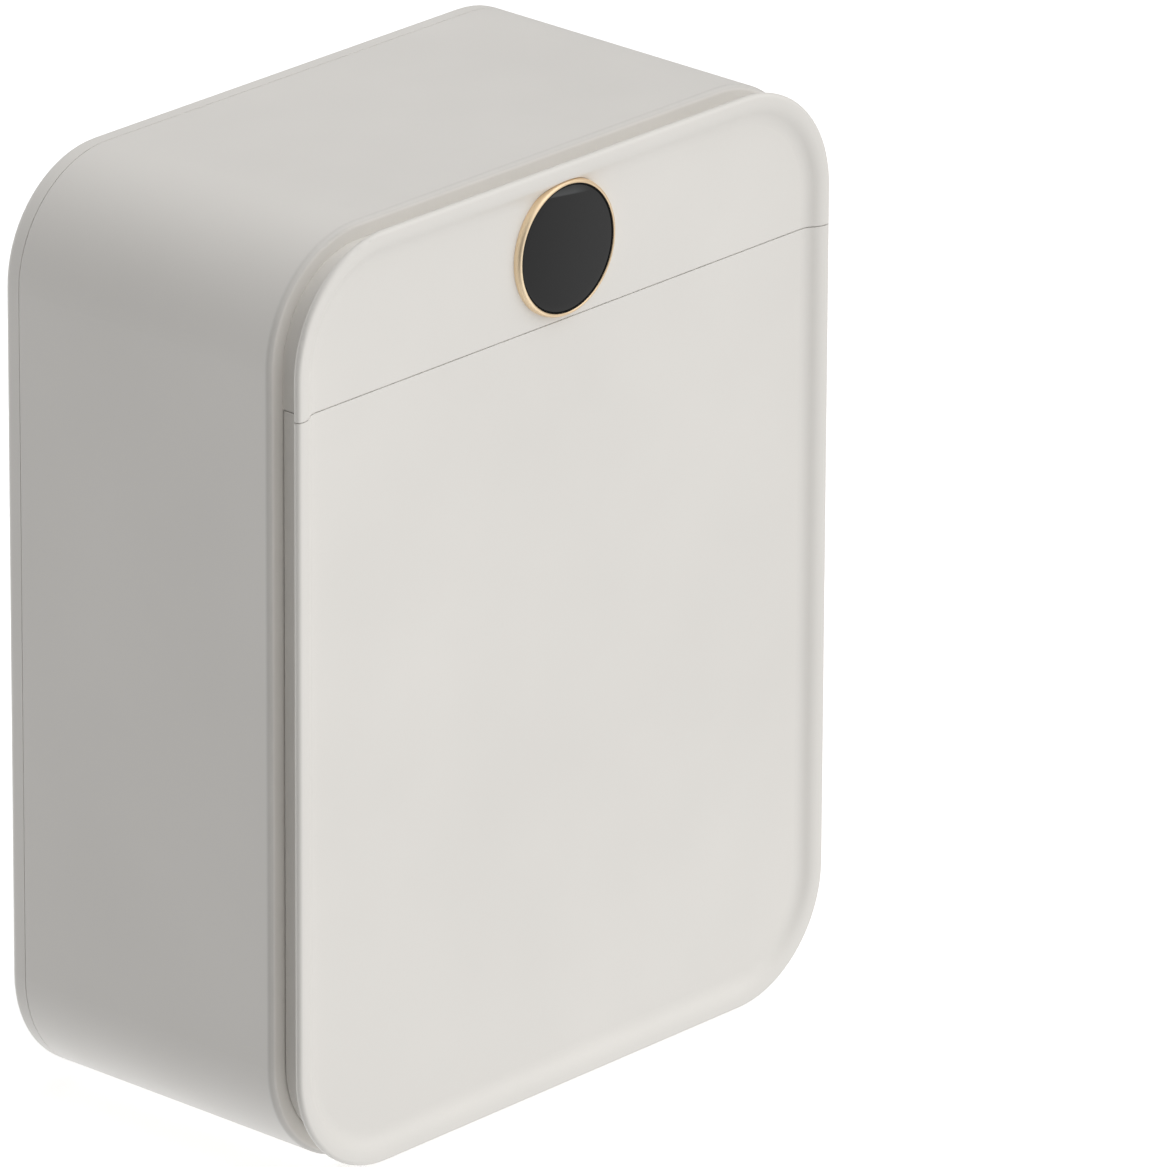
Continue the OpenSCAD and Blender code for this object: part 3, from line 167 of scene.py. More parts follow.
def groove_shade_band(tree, place, start, end):
    """A patchy band of painted shade across the depth: it rises from y start and falls off at y
    end.
    """
    rise_share, fall_share = 0.45, 0.12
    y = axes(tree, place)[1]
    rise = remap(tree, y, start, start + (end - start) * rise_share)
    fall = remap(tree, y, end - (end - start) * fall_share, end, 1.0, 0.0)
    patchy = varied(tree, place, 28.0, 0.85, 1.0, span=(0.25, 0.6), detail=3.0)
    return product(tree, rise, fall, patchy)


def moulded_plastic(name, colour, rough=0.42, grain=1400.0, wear=0.35, painted_shade=None):
    """Moulded plastic: grain, slow colour drift, specks, polished edges.

    The last argument is a band of painted shade: the y where it starts, the y where it ends, and
    its tone.
    """
    mottle, speck_tone, worn_tone, polish = 0.02, 0.93, 1.10, 0.10
    material, tree, shader, place = new_material(name)
    drift = varied(tree, place, 9.0, detail=3.0)
    base = blend(tree, drift, tint(colour, 1 - mottle), tint(colour, 1 + mottle))
    specks = varied(tree, place, 900.0, 0.0, 0.25, span=(0.62, 0.8))
    base = blend(tree, specks, base, tint(colour, speck_tone))
    edges = edge_mask(tree, 0.6 * MM)
    base = blend(tree, product(tree, edges, wear), base, tint(colour, worn_tone))
    # painted shade: the base is darkened in a band where the cabinet's front fillet turns into the
    # groove
    if painted_shade:
        start, end, tone = painted_shade
        base = blend(tree, groove_shade_band(tree, place, start, end), base, tint(colour, tone))
    sheen = varied(tree, place, 35.0, rough - 0.04, rough + 0.05, detail=4.0, roughness=0.65)
    sheen = maths(tree, "SUBTRACT", sheen, product(tree, edges, polish), clamp=True)
    shader.inputs["IOR"].default_value = 1.50
    fine = noise(tree, place, grain, 3.0, 0.6)
    finish_surface(tree, shader, base, sheen, fine, 0.012 * MM, 0.3 * MM)
    return material


def metal(name, colour, rough=0.28, brush=(1.0, 1.0, 1.0)):
    """Metal with a rolled grain, drawn out along the axis whose brush value is small."""
    stain, worn_tone, wear = 0.10, 1.15, 0.4
    material, tree, shader, place = new_material(name)
    drawn = vector_maths(tree, "MULTIPLY", place, brush)
    lines = noise(tree, drawn, 900.0, 3.0, 0.6)
    cloud = varied(tree, place, 60.0, span=(0.35, 0.7), detail=4.0, roughness=0.6)
    base = blend(tree, cloud, tint(colour, 1.0), tint(colour, 1 - stain))
    base = blend(tree, product(tree, edge_mask(tree, 0.5 * MM), wear), base,
                 tint(colour, worn_tone))
    sheen = remap(tree, lines, 0.3, 0.7, rough - 0.06, rough + 0.08)
    shader.inputs["Metallic"].default_value = 1.0
    finish_surface(tree, shader, base, sheen, lines, 0.006 * MM, 0.2 * MM)
    return material


def turned_gold(name, colour, pale, centre):
    """Anodised ring turned on a lathe: fine grooves round its axis, and a painted highlight that
    makes its left side paler.
    """
    material, tree, shader, place = new_material(name)
    local = vector_maths(tree, "SUBTRACT", place, centre)
    flat = vector_maths(tree, "MULTIPLY", local, (1.0, 0.0, 1.0))
    radius = vector_maths(tree, "LENGTH", flat, output="Value")
    across = node(tree, "CombineXYZ", None, X=radius, Y=axes(tree, place)[1], Z=0.0).outputs[0]
    grooves = noise(tree, across, 5200.0, 2.0, 0.7)
    cloud = varied(tree, place, 120.0, span=(0.35, 0.7), detail=3.0)
    base = blend(tree, cloud, tint(colour, 1.0), tint(colour, 0.93))
    # painted highlight: the left side is made paler, standing in for the light that falls there
    left = remap(tree, axes(tree, local)[0], -27 * MM, -14 * MM, 1.0, 0.0)
    base = blend(tree, left, base, tint(pale, 1.0))
    sheen = remap(tree, grooves, 0.3, 0.7, 0.30, 0.44)
    shader.inputs["Metallic"].default_value = 0.72
    finish_surface(tree, shader, base, sheen, grooves, 0.004 * MM, 0.3 * MM)
    return material


def smoked_lens(name, centre, radius):
    """Smoked acrylic: near black, polished, lighter towards its right as painted light, and a
    painted reflection: a paler crescent behind its top edge.
    """
    black, smoke, reflection_grey, dust_grey = 0.001, 0.018, (0.058, 0.060, 0.061), 0.12
    slope = 0.12  # the crescent climbs to the left
    material, tree, shader, place = new_material(name)
    across, _, height = axes(tree, place)
    # painted light: the lens grows lighter from its left edge to its right edge
    painted_light_across = remap(tree, across, centre.x - radius, centre.x + radius)
    base = blend(tree, painted_light_across, tint([black] * 3, 1.0), tint([smoke] * 3, 1.0))
    # painted reflection: a paler crescent near the top edge, climbing to the left
    level = maths(tree, "ADD", height, product(tree, across, slope))
    rise = remap(tree, level, centre.z + 0.835 * radius, centre.z + 0.86 * radius)
    fall = remap(tree, level, centre.z + 0.87 * radius, centre.z + 0.98 * radius, 1.0, 0.4)
    reach = remap(tree, across, centre.x + 0.15 * radius, centre.x + 0.50 * radius, 1.0, 0.0)
    base = blend(tree, product(tree, rise, fall, reach), base, tint(reflection_grey, 1.0))
    dust = varied(tree, place, 2600.0, 0.0, 0.05, span=(0.70, 0.80), detail=1.0)
    base = blend(tree, dust, base, tint([dust_grey] * 3, 1.0))
    smear = varied(tree, place, 55.0, 0.06, 0.13, span=(0.3, 0.75), detail=4.0, roughness=0.6)
    tree.links.new(base, shader.inputs["Base Color"])
    tree.links.new(smear, shader.inputs["Roughness"])
    shader.inputs["IOR"].default_value = 1.435
    return material


def rubber(name, colour, rough=0.75, gloss=0.5):
    """Matt rubber with a fine pebbled skin."""
    material, tree, shader, place = new_material(name)
    pebble = noise(tree, place, 2400.0, 3.0, 0.6)
    cloud = noise(tree, place, 80.0, 3.0)
    shade = remap(tree, cloud, 0.3, 0.7)
    base = blend(tree, shade, tint(colour, 0.9), tint(colour, 1.15))
    sheen = remap(tree, cloud, 0.3, 0.7, rough - 0.06, rough + 0.06)
    shader.inputs["Specular IOR Level"].default_value = gloss
    finish_surface(tree, shader, base, sheen, pebble, 0.02 * MM, 0.4 * MM)
    return material


def board_parts():
    """The control board's components: middle, half size in metres, and colour."""
    yellow, black, navy = (0.70, 0.42, 0.05), (0.022, 0.023, 0.026), (0.035, 0.048, 0.080)
    silver, ivory = (0.46, 0.47, 0.48), (0.82, 0.82, 0.78)
    board_t, lift, margin = 1.6 * MM, 0.1 * MM, 0.05 * MM
    low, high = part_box("control_board")
    middle = (low + high) / 2
    end_x, end_y = (high.x - low.x) / 2 / MM, (high.y - low.y) / 2 / MM
    rows = [  # corner from the board's middle, then width, length and height, in millimetres
        (1, 10, 18, 18, 16, yellow),                # transformer
        (10 - end_x, -14, 19, 15, 15, black),       # relays
        (10 - end_x, 8, 19, 15, 15, black),
        (-2, -31, 10, 10, 2, black),                # controller
        (-20, -36, 28, 3, 16, silver),              # heat sink
        (8 - end_x, end_y - 11, 22, 8, 9, ivory),   # mains block
        (end_x - 10, 2, 9, 26, 8, ivory),           # heater block
        (end_x - 9, -25, 8, 8, 6, ivory),           # fan socket
        (end_x - 20, 6 - end_y, 18, 6, 6, ivory),   # ribbon socket
        (end_x - 21, -23, 10, 10, 18, navy),        # capacitors
        (end_x - 21, -11, 10, 10, 18, navy),
    ]
    for x, y, wide, long, tall, colour in rows:
        half = Vector((wide, long, tall)) * MM / 2
        corner = Vector((middle.x + x * MM, middle.y + y * MM, low.z + board_t + lift))
        yield corner + half, half + Vector((margin, margin, margin)), tint(colour, 1.0)


def circuit_board(name):
    """Solder mask with tracks and pads, and the components in their own colours."""
    mask_dark, mask_light = (0.012, 0.085, 0.040, 1.0), (0.020, 0.130, 0.062, 1.0)
    tinned = (0.55, 0.50, 0.38, 1.0)
    material, tree, shader, place = new_material(name)
    cells = node(tree, "TexVoronoi", {"distance": "MANHATTAN"}, Vector=place, Scale=260.0)
    track = remap(tree, cells.outputs["Distance"], 0.30, 0.34)
    pads = remap(tree, cells.outputs["Distance"], 0.06, 0.09, 1.0, 0.0)
    base = blend(tree, pads, blend(tree, track, mask_dark, mask_light), tinned)
    for middle, half, colour in board_parts():
        away = vector_maths(tree, "ABSOLUTE", vector_maths(tree, "SUBTRACT", place, middle))
        within = [maths(tree, "LESS_THAN", *pair) for pair in zip(axes(tree, away), half)]
        base = blend(tree, product(tree, *within), base, colour)
    sheen = varied(tree, place, 300.0, 0.28, 0.42)
    finish_surface(tree, shader, base, sheen, track, 0.03 * MM, 0.1 * MM)
    return material


def mesh_filter(name, colour):
    """Filter medium: a fine square weave."""
    thread = 6000.0  # radians per metre
    material, tree, shader, place = new_material(name)
    x, _, z = axes(tree, place)
    warp, weft = (maths(tree, "ABSOLUTE", maths(tree, "SINE", product(tree, axis, thread)))
                  for axis in (x, z))
    weave = product(tree, maths(tree, "ADD", warp, weft), 0.5)
    base = blend(tree, weave, tint(colour, 0.55), tint(colour, 1.2))
    sheen = remap(tree, weave, 0.0, 1.0, 0.8, 0.6)
    finish_surface(tree, shader, base, sheen, weave, 0.1 * MM, 0.1 * MM)
    return material


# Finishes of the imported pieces

CABINET = (0.800, 0.776, 0.738)
FRONT = (0.800, 0.776, 0.735)
LINER = (0.80, 0.79, 0.765)
# the second gold is the painted highlight on the ring's left side
GOLD, PAINTED_LIGHT_GOLD = (0.93, 0.715, 0.47), (1.0, 0.81, 0.56)
GROOVE_PAINTED_SHADE = (-62.2 * MM, -65.2 * MM, 0.84)  # painted shade where the cabinet's front fillet meets the groove

FINISHES = {
    "cabinet": moulded_plastic("cabinet_plastic", CABINET, painted_shade=GROOVE_PAINTED_SHADE),
    "front": moulded_plastic("front_plastic", FRONT, rough=0.38),
    "liner": moulded_plastic("liner_plastic", LINER, rough=0.34, grain=1100.0),
    "gold": turned_gold("gold_ring", GOLD, PAINTED_LIGHT_GOLD, DISPLAY),
    "lens": smoked_lens("display_glass", DISPLAY, LENS_R),
    "black": moulded_plastic("black_plastic", (0.030, 0.031, 0.034), rough=0.45, wear=0.2),
    "grey": moulded_plastic("grey_plastic", (0.115, 0.12, 0.13), rough=0.5, wear=0.2),
    "white": moulded_plastic("sensor_white", (0.80, 0.80, 0.77), rough=0.35),
    "gasket": rubber("gasket_rubber", (0.235, 0.228, 0.220), 0.62),
    # painted shadow: a near-black rubber for the ring that stands in for the shade in the lens gap
    "gap_shade": rubber("gap_shade_rubber", (0.006, 0.006, 0.006), 0.8, gloss=0.15),
    "foot": rubber("foot_rubber", (0.035, 0.035, 0.036)),
    "steel": metal("hinge_steel", (0.60, 0.60, 0.61), 0.30, brush=(1.0, 1.0, 0.04)),
    "screw": metal("screw_steel", (0.56, 0.57, 0.58), 0.26),
    "magnet": metal("magnet_steel", (0.42, 0.43, 0.45), 0.34),
    "chrome": metal("rail_chrome", (0.78, 0.79, 0.80), 0.14, brush=(0.03, 1.0, 1.0)),
    "aluminium": metal("fin_aluminium", (0.66, 0.67, 0.68), 0.36, brush=(1.0, 1.0, 0.05)),
    "ceramic": moulded_plastic("heater_ceramic", (0.70, 0.67, 0.60), rough=0.6),
    "copper": metal("coil_copper", (0.60, 0.27, 0.14), 0.33),
    "bronze": metal("bearing_bronze", (0.50, 0.36, 0.17), 0.42),
    "board": circuit_board("circuit_board"),
    "filter": mesh_filter("filter_mesh", (0.16, 0.165, 0.17)),
    "lead_brown": rubber("lead_brown", (0.10, 0.04, 0.02), 0.5),
    "lead_red": rubber("lead_red", (0.36, 0.05, 0.03), 0.5),
    "lead_black": rubber("lead_black", (0.03, 0.03, 0.035), 0.5),
    "ribbon": moulded_plastic("ribbon_grey", (0.45, 0.45, 0.43), rough=0.45),
}

WEARS = {
    "cabinet": ["outer_shell", "rear_cover"],
    "front": ["control_panel", "door_panel"],
    "liner": ["door_inner_panel", "chamber_liner", "rail_sockets"],
    "gold": ["display_bezel"],
    "lens": ["display_lens"],
    "black": ["display_cup", "thermal_cutout", "fan_frame", "door_switch", "power_inlet"],
    "grey": ["air_duct", "fan_impeller"],
    "white": ["chamber_sensor"],
    "gasket": ["door_gasket"],
    "foot": ["rubber_feet"],
    "steel": ["hinge_brackets", "hinge_arms", "hinge_pins"],
    "screw": ["door_screws", "hinge_screws", "liner_screws", "fan_screws", "board_screws",
              "case_screws", "display_screws", "panel_screws", "duct_screws"],
    "magnet": ["door_magnets", "strike_plates", "rotor_magnet"],
    "chrome": ["hanging_rail", "fan_shaft", "inlet_pins"],
    "aluminium": ["heater_fins"],
    "ceramic": ["heater_bars"],
    "copper": ["fan_stator"],
    "bronze": ["fan_bearings"],
    "board": ["display_board", "control_board"],
    "filter": ["intake_filter"],
    "lead_brown": ["inlet_leads"],
    "lead_red": ["heater_leads"],
    "lead_black": ["fan_leads"],
    "ribbon": ["display_ribbon"],
}


def dress(node_name, finish):
    """Gives every material slot of a CAD node its finish."""
    slots = NODES[node_name].data.materials
    if not len(slots):
        slots.append(FINISHES[finish])
    for i in range(len(slots)):
        slots[i] = FINISHES[finish]


# Turned pieces and fasteners: profiles are (radius, height) points

RING_PROUD, RING_ROUND = 3.2 * MM, 2.8 * MM     # depth of the ring's head, and of its crown
LENS_GAP = 0.6 * MM                             # between lens and ring, where a near-black ring stands in for the gap's shadow
LEDGE_INSET, LEDGE_DROP = 0.15 * MM, 0.24 * MM  # seam ledge: in from the edge, and down
FOOT_H = 3.0 * MM
HEAD_D, HEAD_T, SHANK_D = 5.6 * MM, 2.0 * MM, 2.6 * MM
FIRST_TURN, NEXT_TURN = 12.0, 31.0              # degrees: screws don't all stop at one angle
CAD_MERGE, POLE_MERGE = 1e-6, 1e-7              # doubles of a CAD mesh, and at a profile's pole
PLACES = 7                                      # decimals that tell two points apart, in metres


def to_mesh(name, form):
    """A mesh made from a bmesh, which it frees."""
    mesh = bpy.data.meshes.new(name)
    form.to_mesh(mesh)
    form.free()
    return mesh


def to_object(name, mesh):
    """An object in the scene with a mesh."""
    made = bpy.data.objects.new(name, mesh)
    bpy.context.scene.collection.objects.link(made)
    return made


def keep_mesh(name, form, finish, sharp=32.0):
    """Turns a bmesh into a smooth object with its sharp edges kept."""
    bmesh.ops.recalc_face_normals(form, faces=form.faces)
    mesh = to_mesh(name, form)
    mesh.shade_smooth()
    mesh.set_sharp_from_angle(angle=math.radians(sharp))
    mesh.materials.append(FINISHES[finish])
    return to_object(name, mesh)


def stand_in(piece, node_name):
    """The piece takes a node's place and body."""
    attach(piece, BODY_OF[node_name])
    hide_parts(node_name)


def arc(cx, cy, rx, ry, start, end, steps):
    """Points on an elliptical arc, angles in degrees."""
    span = [math.radians(start + (end - start) * i / steps) for i in range(steps + 1)]
    return [(cx + rx * math.cos(a), cy + ry * math.sin(a)) for a in span]


def turn(form, profile, place, steps=128, closed=True):
    """Turns a profile about place's Z axis; place is a matrix."""
    rings = []
    for i in range(steps):
        a = 2 * math.pi * i / steps
        rings.append([form.verts.new(place @ Vector((r * math.cos(a), r * math.sin(a), h)))
                      for r, h in profile])
    count = len(profile)
    for i in range(steps):
        one, two = rings[i], rings[(i + 1) % steps]
        for j in range(count if closed else count - 1):
            k = (j + 1) % count
            form.faces.new((one[j], one[k], two[k], two[j]))
    bmesh.ops.remove_doubles(form, verts=form.verts, dist=POLE_MERGE)


def on_display(y):
    """The display's axis from y on, with Z to the back, so that heights count from the front."""
    tip = Matrix.Rotation(math.radians(-90), 4, "X")
    return Matrix.Translation((DISPLAY.x, y, DISPLAY.z)) @ tip


def display_ring():
    """The gold ring: one lathe-turned bead, its sleeve, and the shelf that carries the lens."""
    low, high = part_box("display_bezel")
    outer = (high.x - low.x) / 2
    inner, ledge, sleeve = LENS_R + 0.1 * MM, LENS_R - 1.5 * MM, outer - 1.5 * MM
    back, shelf = high.y - low.y, LENS_HIGH.y - low.y
    lip = 0.45 * MM
    crown = outer - inner - lip
    profile = arc(inner + lip, lip, lip, lip, 180, 270, 5)
    profile += arc(outer - crown, RING_ROUND, crown, RING_ROUND, 270, 360, 14)[1:]
    profile += [(outer, RING_PROUD), (sleeve, RING_PROUD), (sleeve, back), (ledge, back),
                (ledge, shelf), (inner, shelf)]
    form = bmesh.new()
    turn(form, profile, on_display(low.y), 160)
    stand_in(keep_mesh("turned_ring", form, "gold", 40.0), "display_bezel")


def display_glass():
    """The lens: slightly domed, with a ground edge."""
    radius, depth = LENS_R - LENS_GAP, LENS_HIGH.y - LENS_LOW.y
    dome, edge = 0.22 * MM, 0.30 * MM
    shares = (0.0, 0.15, 0.3, 0.45, 0.6, 0.75, 0.9, 1.0)
    profile = [((radius - edge) * t, dome * t * t) for t in shares]
    profile += arc(radius - edge, dome + edge, edge, edge, 270, 360, 5)[1:]
    profile += [(radius, depth), (0.0, depth)]
    form = bmesh.new()
    turn(form, profile, on_display(LENS_LOW.y), 160, False)
    stand_in(keep_mesh("domed_lens", form, "lens", 40.0), "display_lens")


def lens_gap_shade():
    """A near-black ring between the lens and the gold ring: painted shadow, standing in for the
    shade in the gap.
    """
    depth = LENS_HIGH.y - LENS_LOW.y
    outer = LENS_R + 0.05 * MM
    inner, crown = outer - LENS_GAP, LENS_GAP / 2
    profile = arc(inner + crown, crown, crown, crown, 180, 360, 8)
    profile += [(outer, depth), (inner, depth)]
    form = bmesh.new()
    turn(form, profile, on_display(LENS_LOW.y))
    gap_shade = keep_mesh("lens_gap_shade", form, "gap_shade", 40.0)
    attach(gap_shade, BODY_OF["display_lens"])


def rubber_soles():
    """Feet with ringed soles and a rounded edge, each on its plug."""
    groove, edge = 0.5 * MM, 0.9 * MM
    ring_at, ring_wide, slope = (0.16, 0.42, 0.68), 0.14, 0.04  # shares of the radius
    form = bmesh.new()
    for low, high, _ in islands("rubber_feet"):
        radius = (high.x - low.x) / 2
        plug, top = radius / 3, high.z - low.z
        profile = [(0.0, groove), ((ring_at[0] - slope) * radius, groove)]
        for at in ring_at:
            end = at + ring_wide
            profile += [(at * radius, 0.0), (end * radius, 0.0)]
            if at != ring_at[-1]:
                profile += [((end + slope) * radius, groove), ((end + 2 * slope) * radius, groove)]
        profile += arc(radius - edge, edge, edge, edge, 270, 360, 6)
        profile += [(radius, FOOT_H), (plug, FOOT_H), (plug, top), (0.0, top)]
        centre = Vector(((low.x + high.x) / 2, (low.y + high.y) / 2, low.z))
        turn(form, profile, Matrix.Translation(centre), 64, False)
    stand_in(keep_mesh("ringed_feet", form, "foot", 30.0), "rubber_feet")


def in_order(form):
    """The same solid with its points and faces sorted by place, so that each run gives one mesh.

    The inset and extrude operators leave them in an order that changes from run to run.
    """
    bmesh.ops.recalc_face_normals(form, faces=form.faces)
    loops = []
    for face in form.faces:
        loop = [tuple(round(c, PLACES) for c in vert.co) for vert in face.verts]
        first = loop.index(min(loop))
        loops.append(loop[first:] + loop[:first])
    form.free()
    made = bmesh.new()
    verts = {point: made.verts.new(point) for point in sorted({p for loop in loops for p in loop})}
    for loop in sorted(loops):
        made.faces.new([verts[point] for point in loop])
    return made


def seam_ledge():
    """A narrow ledge under the control panel's lower edge, which half fills the seam."""
    form = bmesh.new()
    form.from_mesh(NODES["control_panel"].data)
    edge_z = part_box("control_panel")[0].z
    bmesh.ops.remove_doubles(form, verts=form.verts, dist=CAD_MERGE)
    spare = [f for f in form.faces
             if f.normal.z > -0.99 or abs(f.calc_center_median().z - edge_z) > 0.02 * MM]
    bmesh.ops.delete(form, geom=spare, context="FACES")
    rim = bmesh.ops.inset_region(form, faces=form.faces[:], thickness=LEDGE_INSET,
                                 use_even_offset=True, use_boundary=True)
    bmesh.ops.delete(form, geom=rim["faces"], context="FACES")
    grown = bmesh.ops.extrude_face_region(form, geom=form.faces[:], use_keep_orig=True)
    for item in grown["geom"]:
        if isinstance(item, bmesh.types.BMVert):
            item.co.z -= LEDGE_DROP
    ledge = keep_mesh("seam_ledge", in_order(form), "front")
    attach(ledge, BODY_OF["control_panel"])


def islands(node_name):
    """The lowest corner, the highest corner and the points of each solid in a CAD node."""
    form = bmesh.new()
    form.from_mesh(NODES[node_name].data)
    bmesh.ops.remove_doubles(form, verts=form.verts, dist=CAD_MERGE)
    form.verts.ensure_lookup_table()
    seen, found = set(), []
    for start in form.verts:
        if start.index in seen:
            continue
        seen.add(start.index)
        heap, points = [start], []
        while heap:
            vert = heap.pop()
            points.append(vert.co.copy())
            for edge in vert.link_edges:
                other = edge.other_vert(vert)
                if other.index not in seen:
                    seen.add(other.index)
                    heap.append(other)
        low, high = (Vector([pick(p[i] for p in points) for i in range(3)]) for pick in (min, max))
        found.append((low, high, points))
    form.free()
    return found


def screw_place(low, high, points):
    """A matrix from the top of a CAD screw's head into its length, and that length."""
    size = high - low
    axis = min(range(3), key=lambda i: abs(size[(i + 1) % 3] - size[(i + 2) % 3]))
    centre = (low + high) / 2

    def reach(level):
        rim = [c - centre for c in points if abs(c[axis] - level) < 0.02 * MM]
        return max(math.hypot(c[(axis + 1) % 3], c[(axis + 2) % 3]) for c in rim)

    head_up = reach(high[axis]) > reach(low[axis])
    centre[axis] = high[axis] if head_up else low[axis]
    way = Vector((0.0, 0.0, 0.0))
    way[axis] = -1.0 if head_up else 1.0
    return Matrix.Translation(centre) @ way.to_track_quat("Z", "Y").to_matrix().to_4x4(), size[axis]


def recess_cutter(diameter, height, angle):
    """One bar of the cross recess, which narrows into the head."""
    top_l, top_w, deep_l, deep_w = 0.60, 0.17, 0.28, 0.11  # shares of the diameter
    form = bmesh.new()
    bmesh.ops.create_cube(form, size=1.0)
    for vert in form.verts:
        long, wide, z = (deep_l, deep_w, 0.72) if vert.co.z > 0 else (top_l, top_w, -0.2)
        vert.co = Vector((vert.co.x * diameter * long, vert.co.y * diameter * wide, z * height))
    bmesh.ops.rotate(form, verts=form.verts, matrix=Matrix.Rotation(math.radians(angle), 3, "Z"))
    return to_object("recess", to_mesh("recess", form))


def recessed_head(diameter, height):
    """A pan head with a cross recess: its top is at zero and it goes down along Z."""
    radius, edge = diameter / 2, 0.45 * height
    # flat in the middle, then falling a little towards the rolled edge
    profile = [(0.0, 0.0), (0.35 * radius, 0.0), (0.62 * radius, 0.04 * height)]
    profile += arc(radius - edge, 0.5 * height, edge, edge, 285, 360, 7)
    profile += [(radius, height), (0.0, height)]
    form = bmesh.new()
    turn(form, profile, Matrix.Identity(4), 48, False)
    bmesh.ops.recalc_face_normals(form, faces=form.faces)
    head = to_object("pan_head", to_mesh("pan_head", form))
    cutters = [recess_cutter(diameter, height, angle) for angle in (0, 90)]
    for cutter in cutters:
        cut = head.modifiers.new("recess", "BOOLEAN")
        cut.object, cut.operation, cut.solver = cutter, "DIFFERENCE", "EXACT"
    evaluated = head.evaluated_get(bpy.context.evaluated_depsgraph_get())
    made = bpy.data.meshes.new_from_object(evaluated)
    for extra in cutters + [head]:
        bpy.data.objects.remove(extra)
    return made


def threaded_shank(length):
    """The profile of a screw from under its head to its point."""
    core, root, pitch = SHANK_D / 2, SHANK_D * 0.43, 1.05 * MM
    start = HEAD_T - 0.05 * MM
    profile = [(0.0, start), (root, start)]
    for k in range(int((length - start - 0.8 * MM) / pitch)):
        z = start + k * pitch
        profile += [(root, z + 0.35 * pitch), (core, z + 0.5 * pitch), (root, z + 0.65 * pitch)]
    return profile + [(0.8 * root, length - 0.5 * MM), (0.3 * root, length), (0.0, length)]


def cross_screws(node_name, head):
    """Every screw of a node again: the given head, at its own angle, on a threaded shank."""
    form = bmesh.new()
    for i, (low, high, points) in enumerate(islands(node_name)):
        place, length = screw_place(low, high, points)
        place = place @ Matrix.Rotation(math.radians(NEXT_TURN * i + FIRST_TURN), 4, "Z")
        placed_head = head.copy()
        placed_head.transform(place)
        form.from_mesh(placed_head)
        bpy.data.meshes.remove(placed_head)
        turn(form, threaded_shank(length), place, 20, False)
    stand_in(keep_mesh(node_name + "_cross", form, "screw", 30.0), node_name)


# Studio: floor, light and camera

STUDIO_R = 17.0
SOFTNESS = 3.0
LOBES = [  # azimuth and elevation in degrees, and strength, fitted to the tones of the photo
    (0.0, 90.0, 0.51), (45.0, 45.0, 1.08), (0.0, 45.0, 0.71), (-135.0, 0.0, 0.33),
    (0.0, 0.0, 0.13), (180.0, 0.0, 0.85), (0.0, -45.0, 1.14), (90.0, -45.0, 0.48),
    (180.0, -45.0, 0.96), (0.0, -90.0, 0.12),
]
FLOOR_GLOW = 0.50

# The camera, fitted to the cabinet's edges in the photo: angles in degrees, lengths in metres
BODY_MIDDLE = Vector((0.0, 0.0, 0.203))
CAMERA_WAY, DISTANCE = (-47.123, 21.442), 6.018
CAMERA_AIM, CAMERA_ROLL = (-47.776, 21.457), 0.286
PHOTO_H, FOCAL_PX, SENSOR = 1167, 14771.0, 36.0


def direction(azimuth, elevation):
    """The unit vector towards an azimuth, counted from the front, and an elevation."""
    a, e = math.radians(azimuth), math.radians(elevation)
    return Vector((math.sin(a) * math.cos(e), -math.cos(a) * math.cos(e), math.sin(e)))


def backdrop(name, form, material):
    """A stage piece that only the camera sees, so that it doesn't light or shade the dryer."""
    mesh = to_mesh(name, form)
    mesh.materials.append(material)
    made = to_object(name, mesh)
    made.visible_shadow = False
    made.visible_diffuse = False
    made.visible_glossy = False
    made.visible_transmission = False


def pale_floor():
    """A plain pale floor under the feet."""
    form = bmesh.new()
    bmesh.ops.create_circle(form, cap_ends=True, segments=96, radius=STUDIO_R)
    material, tree, shader, place = new_material("floor_paint")
    base = blend(tree, noise(tree, place, 2.0), (0.90, 0.90, 0.895, 1.0), (0.92, 0.92, 0.915, 1.0))
    tree.links.new(base, shader.inputs["Base Color"])
    shader.inputs["Roughness"].default_value = 0.95
    shader.inputs["Specular IOR Level"].default_value = 0.0
    shader.inputs["Emission Color"].default_value = WHITE
    shader.inputs["Emission Strength"].default_value = FLOOR_GLOW
    backdrop("floor", form, material)


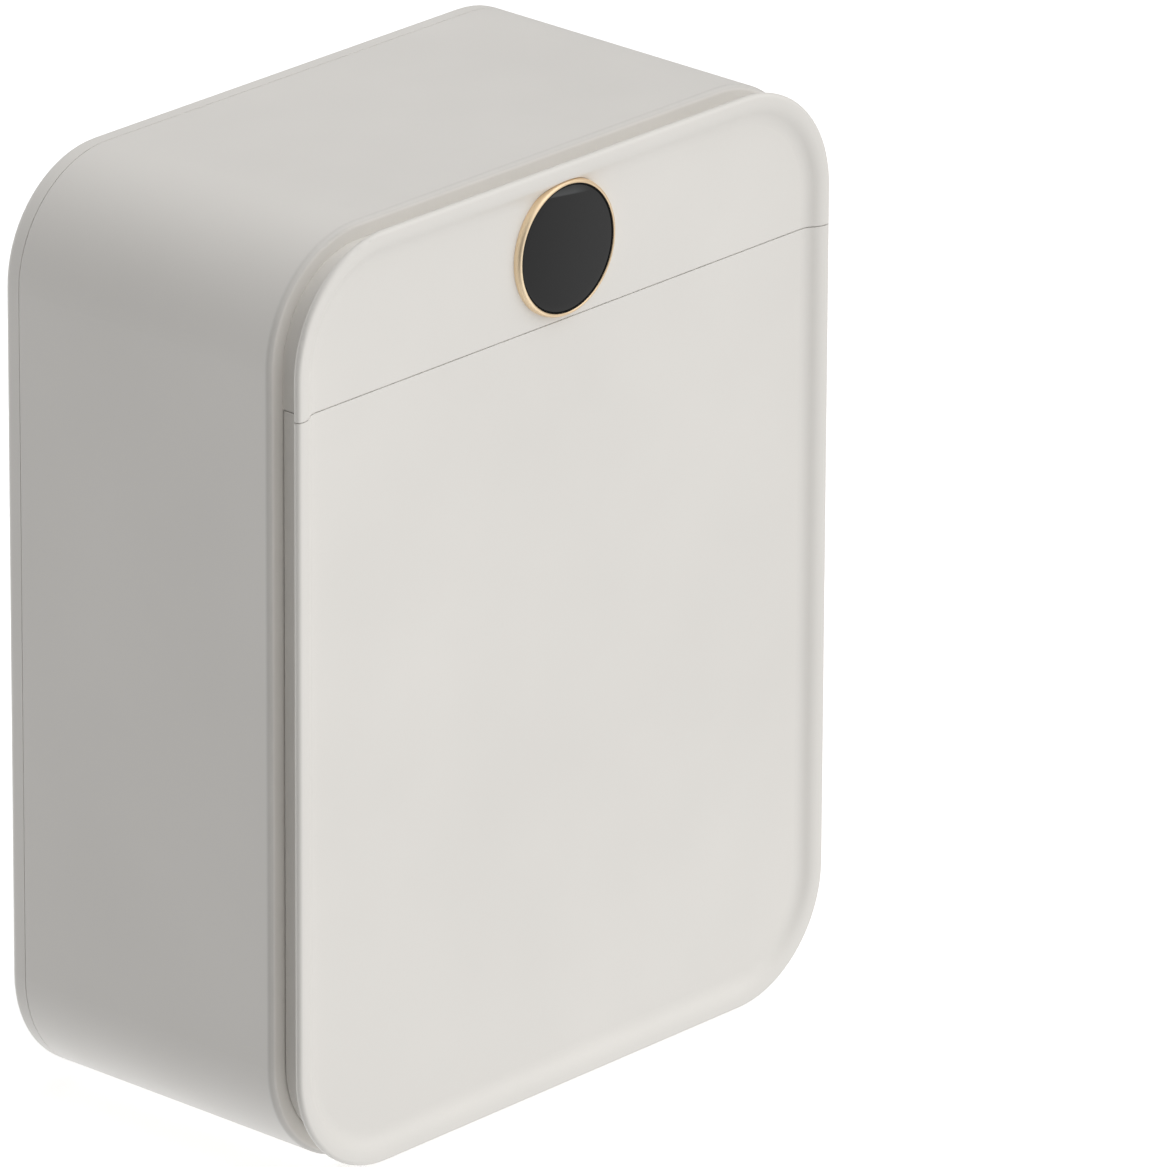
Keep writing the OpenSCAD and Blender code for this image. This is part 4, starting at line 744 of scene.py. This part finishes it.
def white_surround():
    """A plain white dome round the floor, so that low views have the same background."""
    form = bmesh.new()
    bmesh.ops.create_icosphere(form, subdivisions=4, radius=STUDIO_R * 1.02)
    material = bpy.data.materials.new("surround_white")
    material.use_nodes = True
    tree = material.node_tree
    tree.nodes.clear()
    glow = node(tree, "Emission", None, Color=WHITE, Strength=1.0)
    node(tree, "OutputMaterial", None, Surface=glow.outputs[0])
    backdrop("surround", form, material)


def studio_light():
    """Soft light from all round: broad lobes, each a power of the cosine to its direction."""
    world = bpy.data.worlds.new("surroundings")
    bpy.context.scene.world = world
    world.use_nodes = True
    tree = world.node_tree
    way = tree.nodes.new("ShaderNodeTexCoord").outputs["Generated"]
    glow = 0.0
    for azimuth, elevation, strength in LOBES:
        facing = vector_maths(tree, "DOT_PRODUCT", way, direction(azimuth, elevation), "Value")
        lobe = maths(tree, "POWER", maths(tree, "MAXIMUM", facing, 0.0), SOFTNESS)
        glow = maths(tree, "ADD", product(tree, lobe, strength), glow)
    background = tree.nodes["Background"]
    background.inputs["Color"].default_value = WHITE
    tree.links.new(glow, background.inputs["Strength"])
    bpy.context.scene.view_settings.view_transform = "Standard"


def photo_camera():
    """The photograph's camera: far away with a long lens, aimed a little beside the dryer."""
    data = bpy.data.cameras.new("camera")
    data.sensor_width = SENSOR
    data.lens = FOCAL_PX * SENSOR / PHOTO_H
    data.clip_start, data.clip_end = 0.1, 60.0
    camera = to_object("camera", data)
    camera.location = BODY_MIDDLE + direction(*CAMERA_WAY) * DISTANCE
    camera.rotation_mode = "QUATERNION"
    roll = Quaternion((0.0, 0.0, 1.0), math.radians(CAMERA_ROLL))
    camera.rotation_quaternion = (-direction(*CAMERA_AIM)).to_track_quat("-Z", "Y") @ roll
    bpy.context.scene.camera = camera


for finish, names in WEARS.items():
    for name in names:
        dress(name, finish)

display_ring()
display_glass()
lens_gap_shade()
rubber_soles()
seam_ledge()
pan_head = recessed_head(HEAD_D, HEAD_T)
for name in WEARS["screw"]:
    cross_screws(name, pan_head)

pale_floor()
white_surround()
studio_light()
photo_camera()
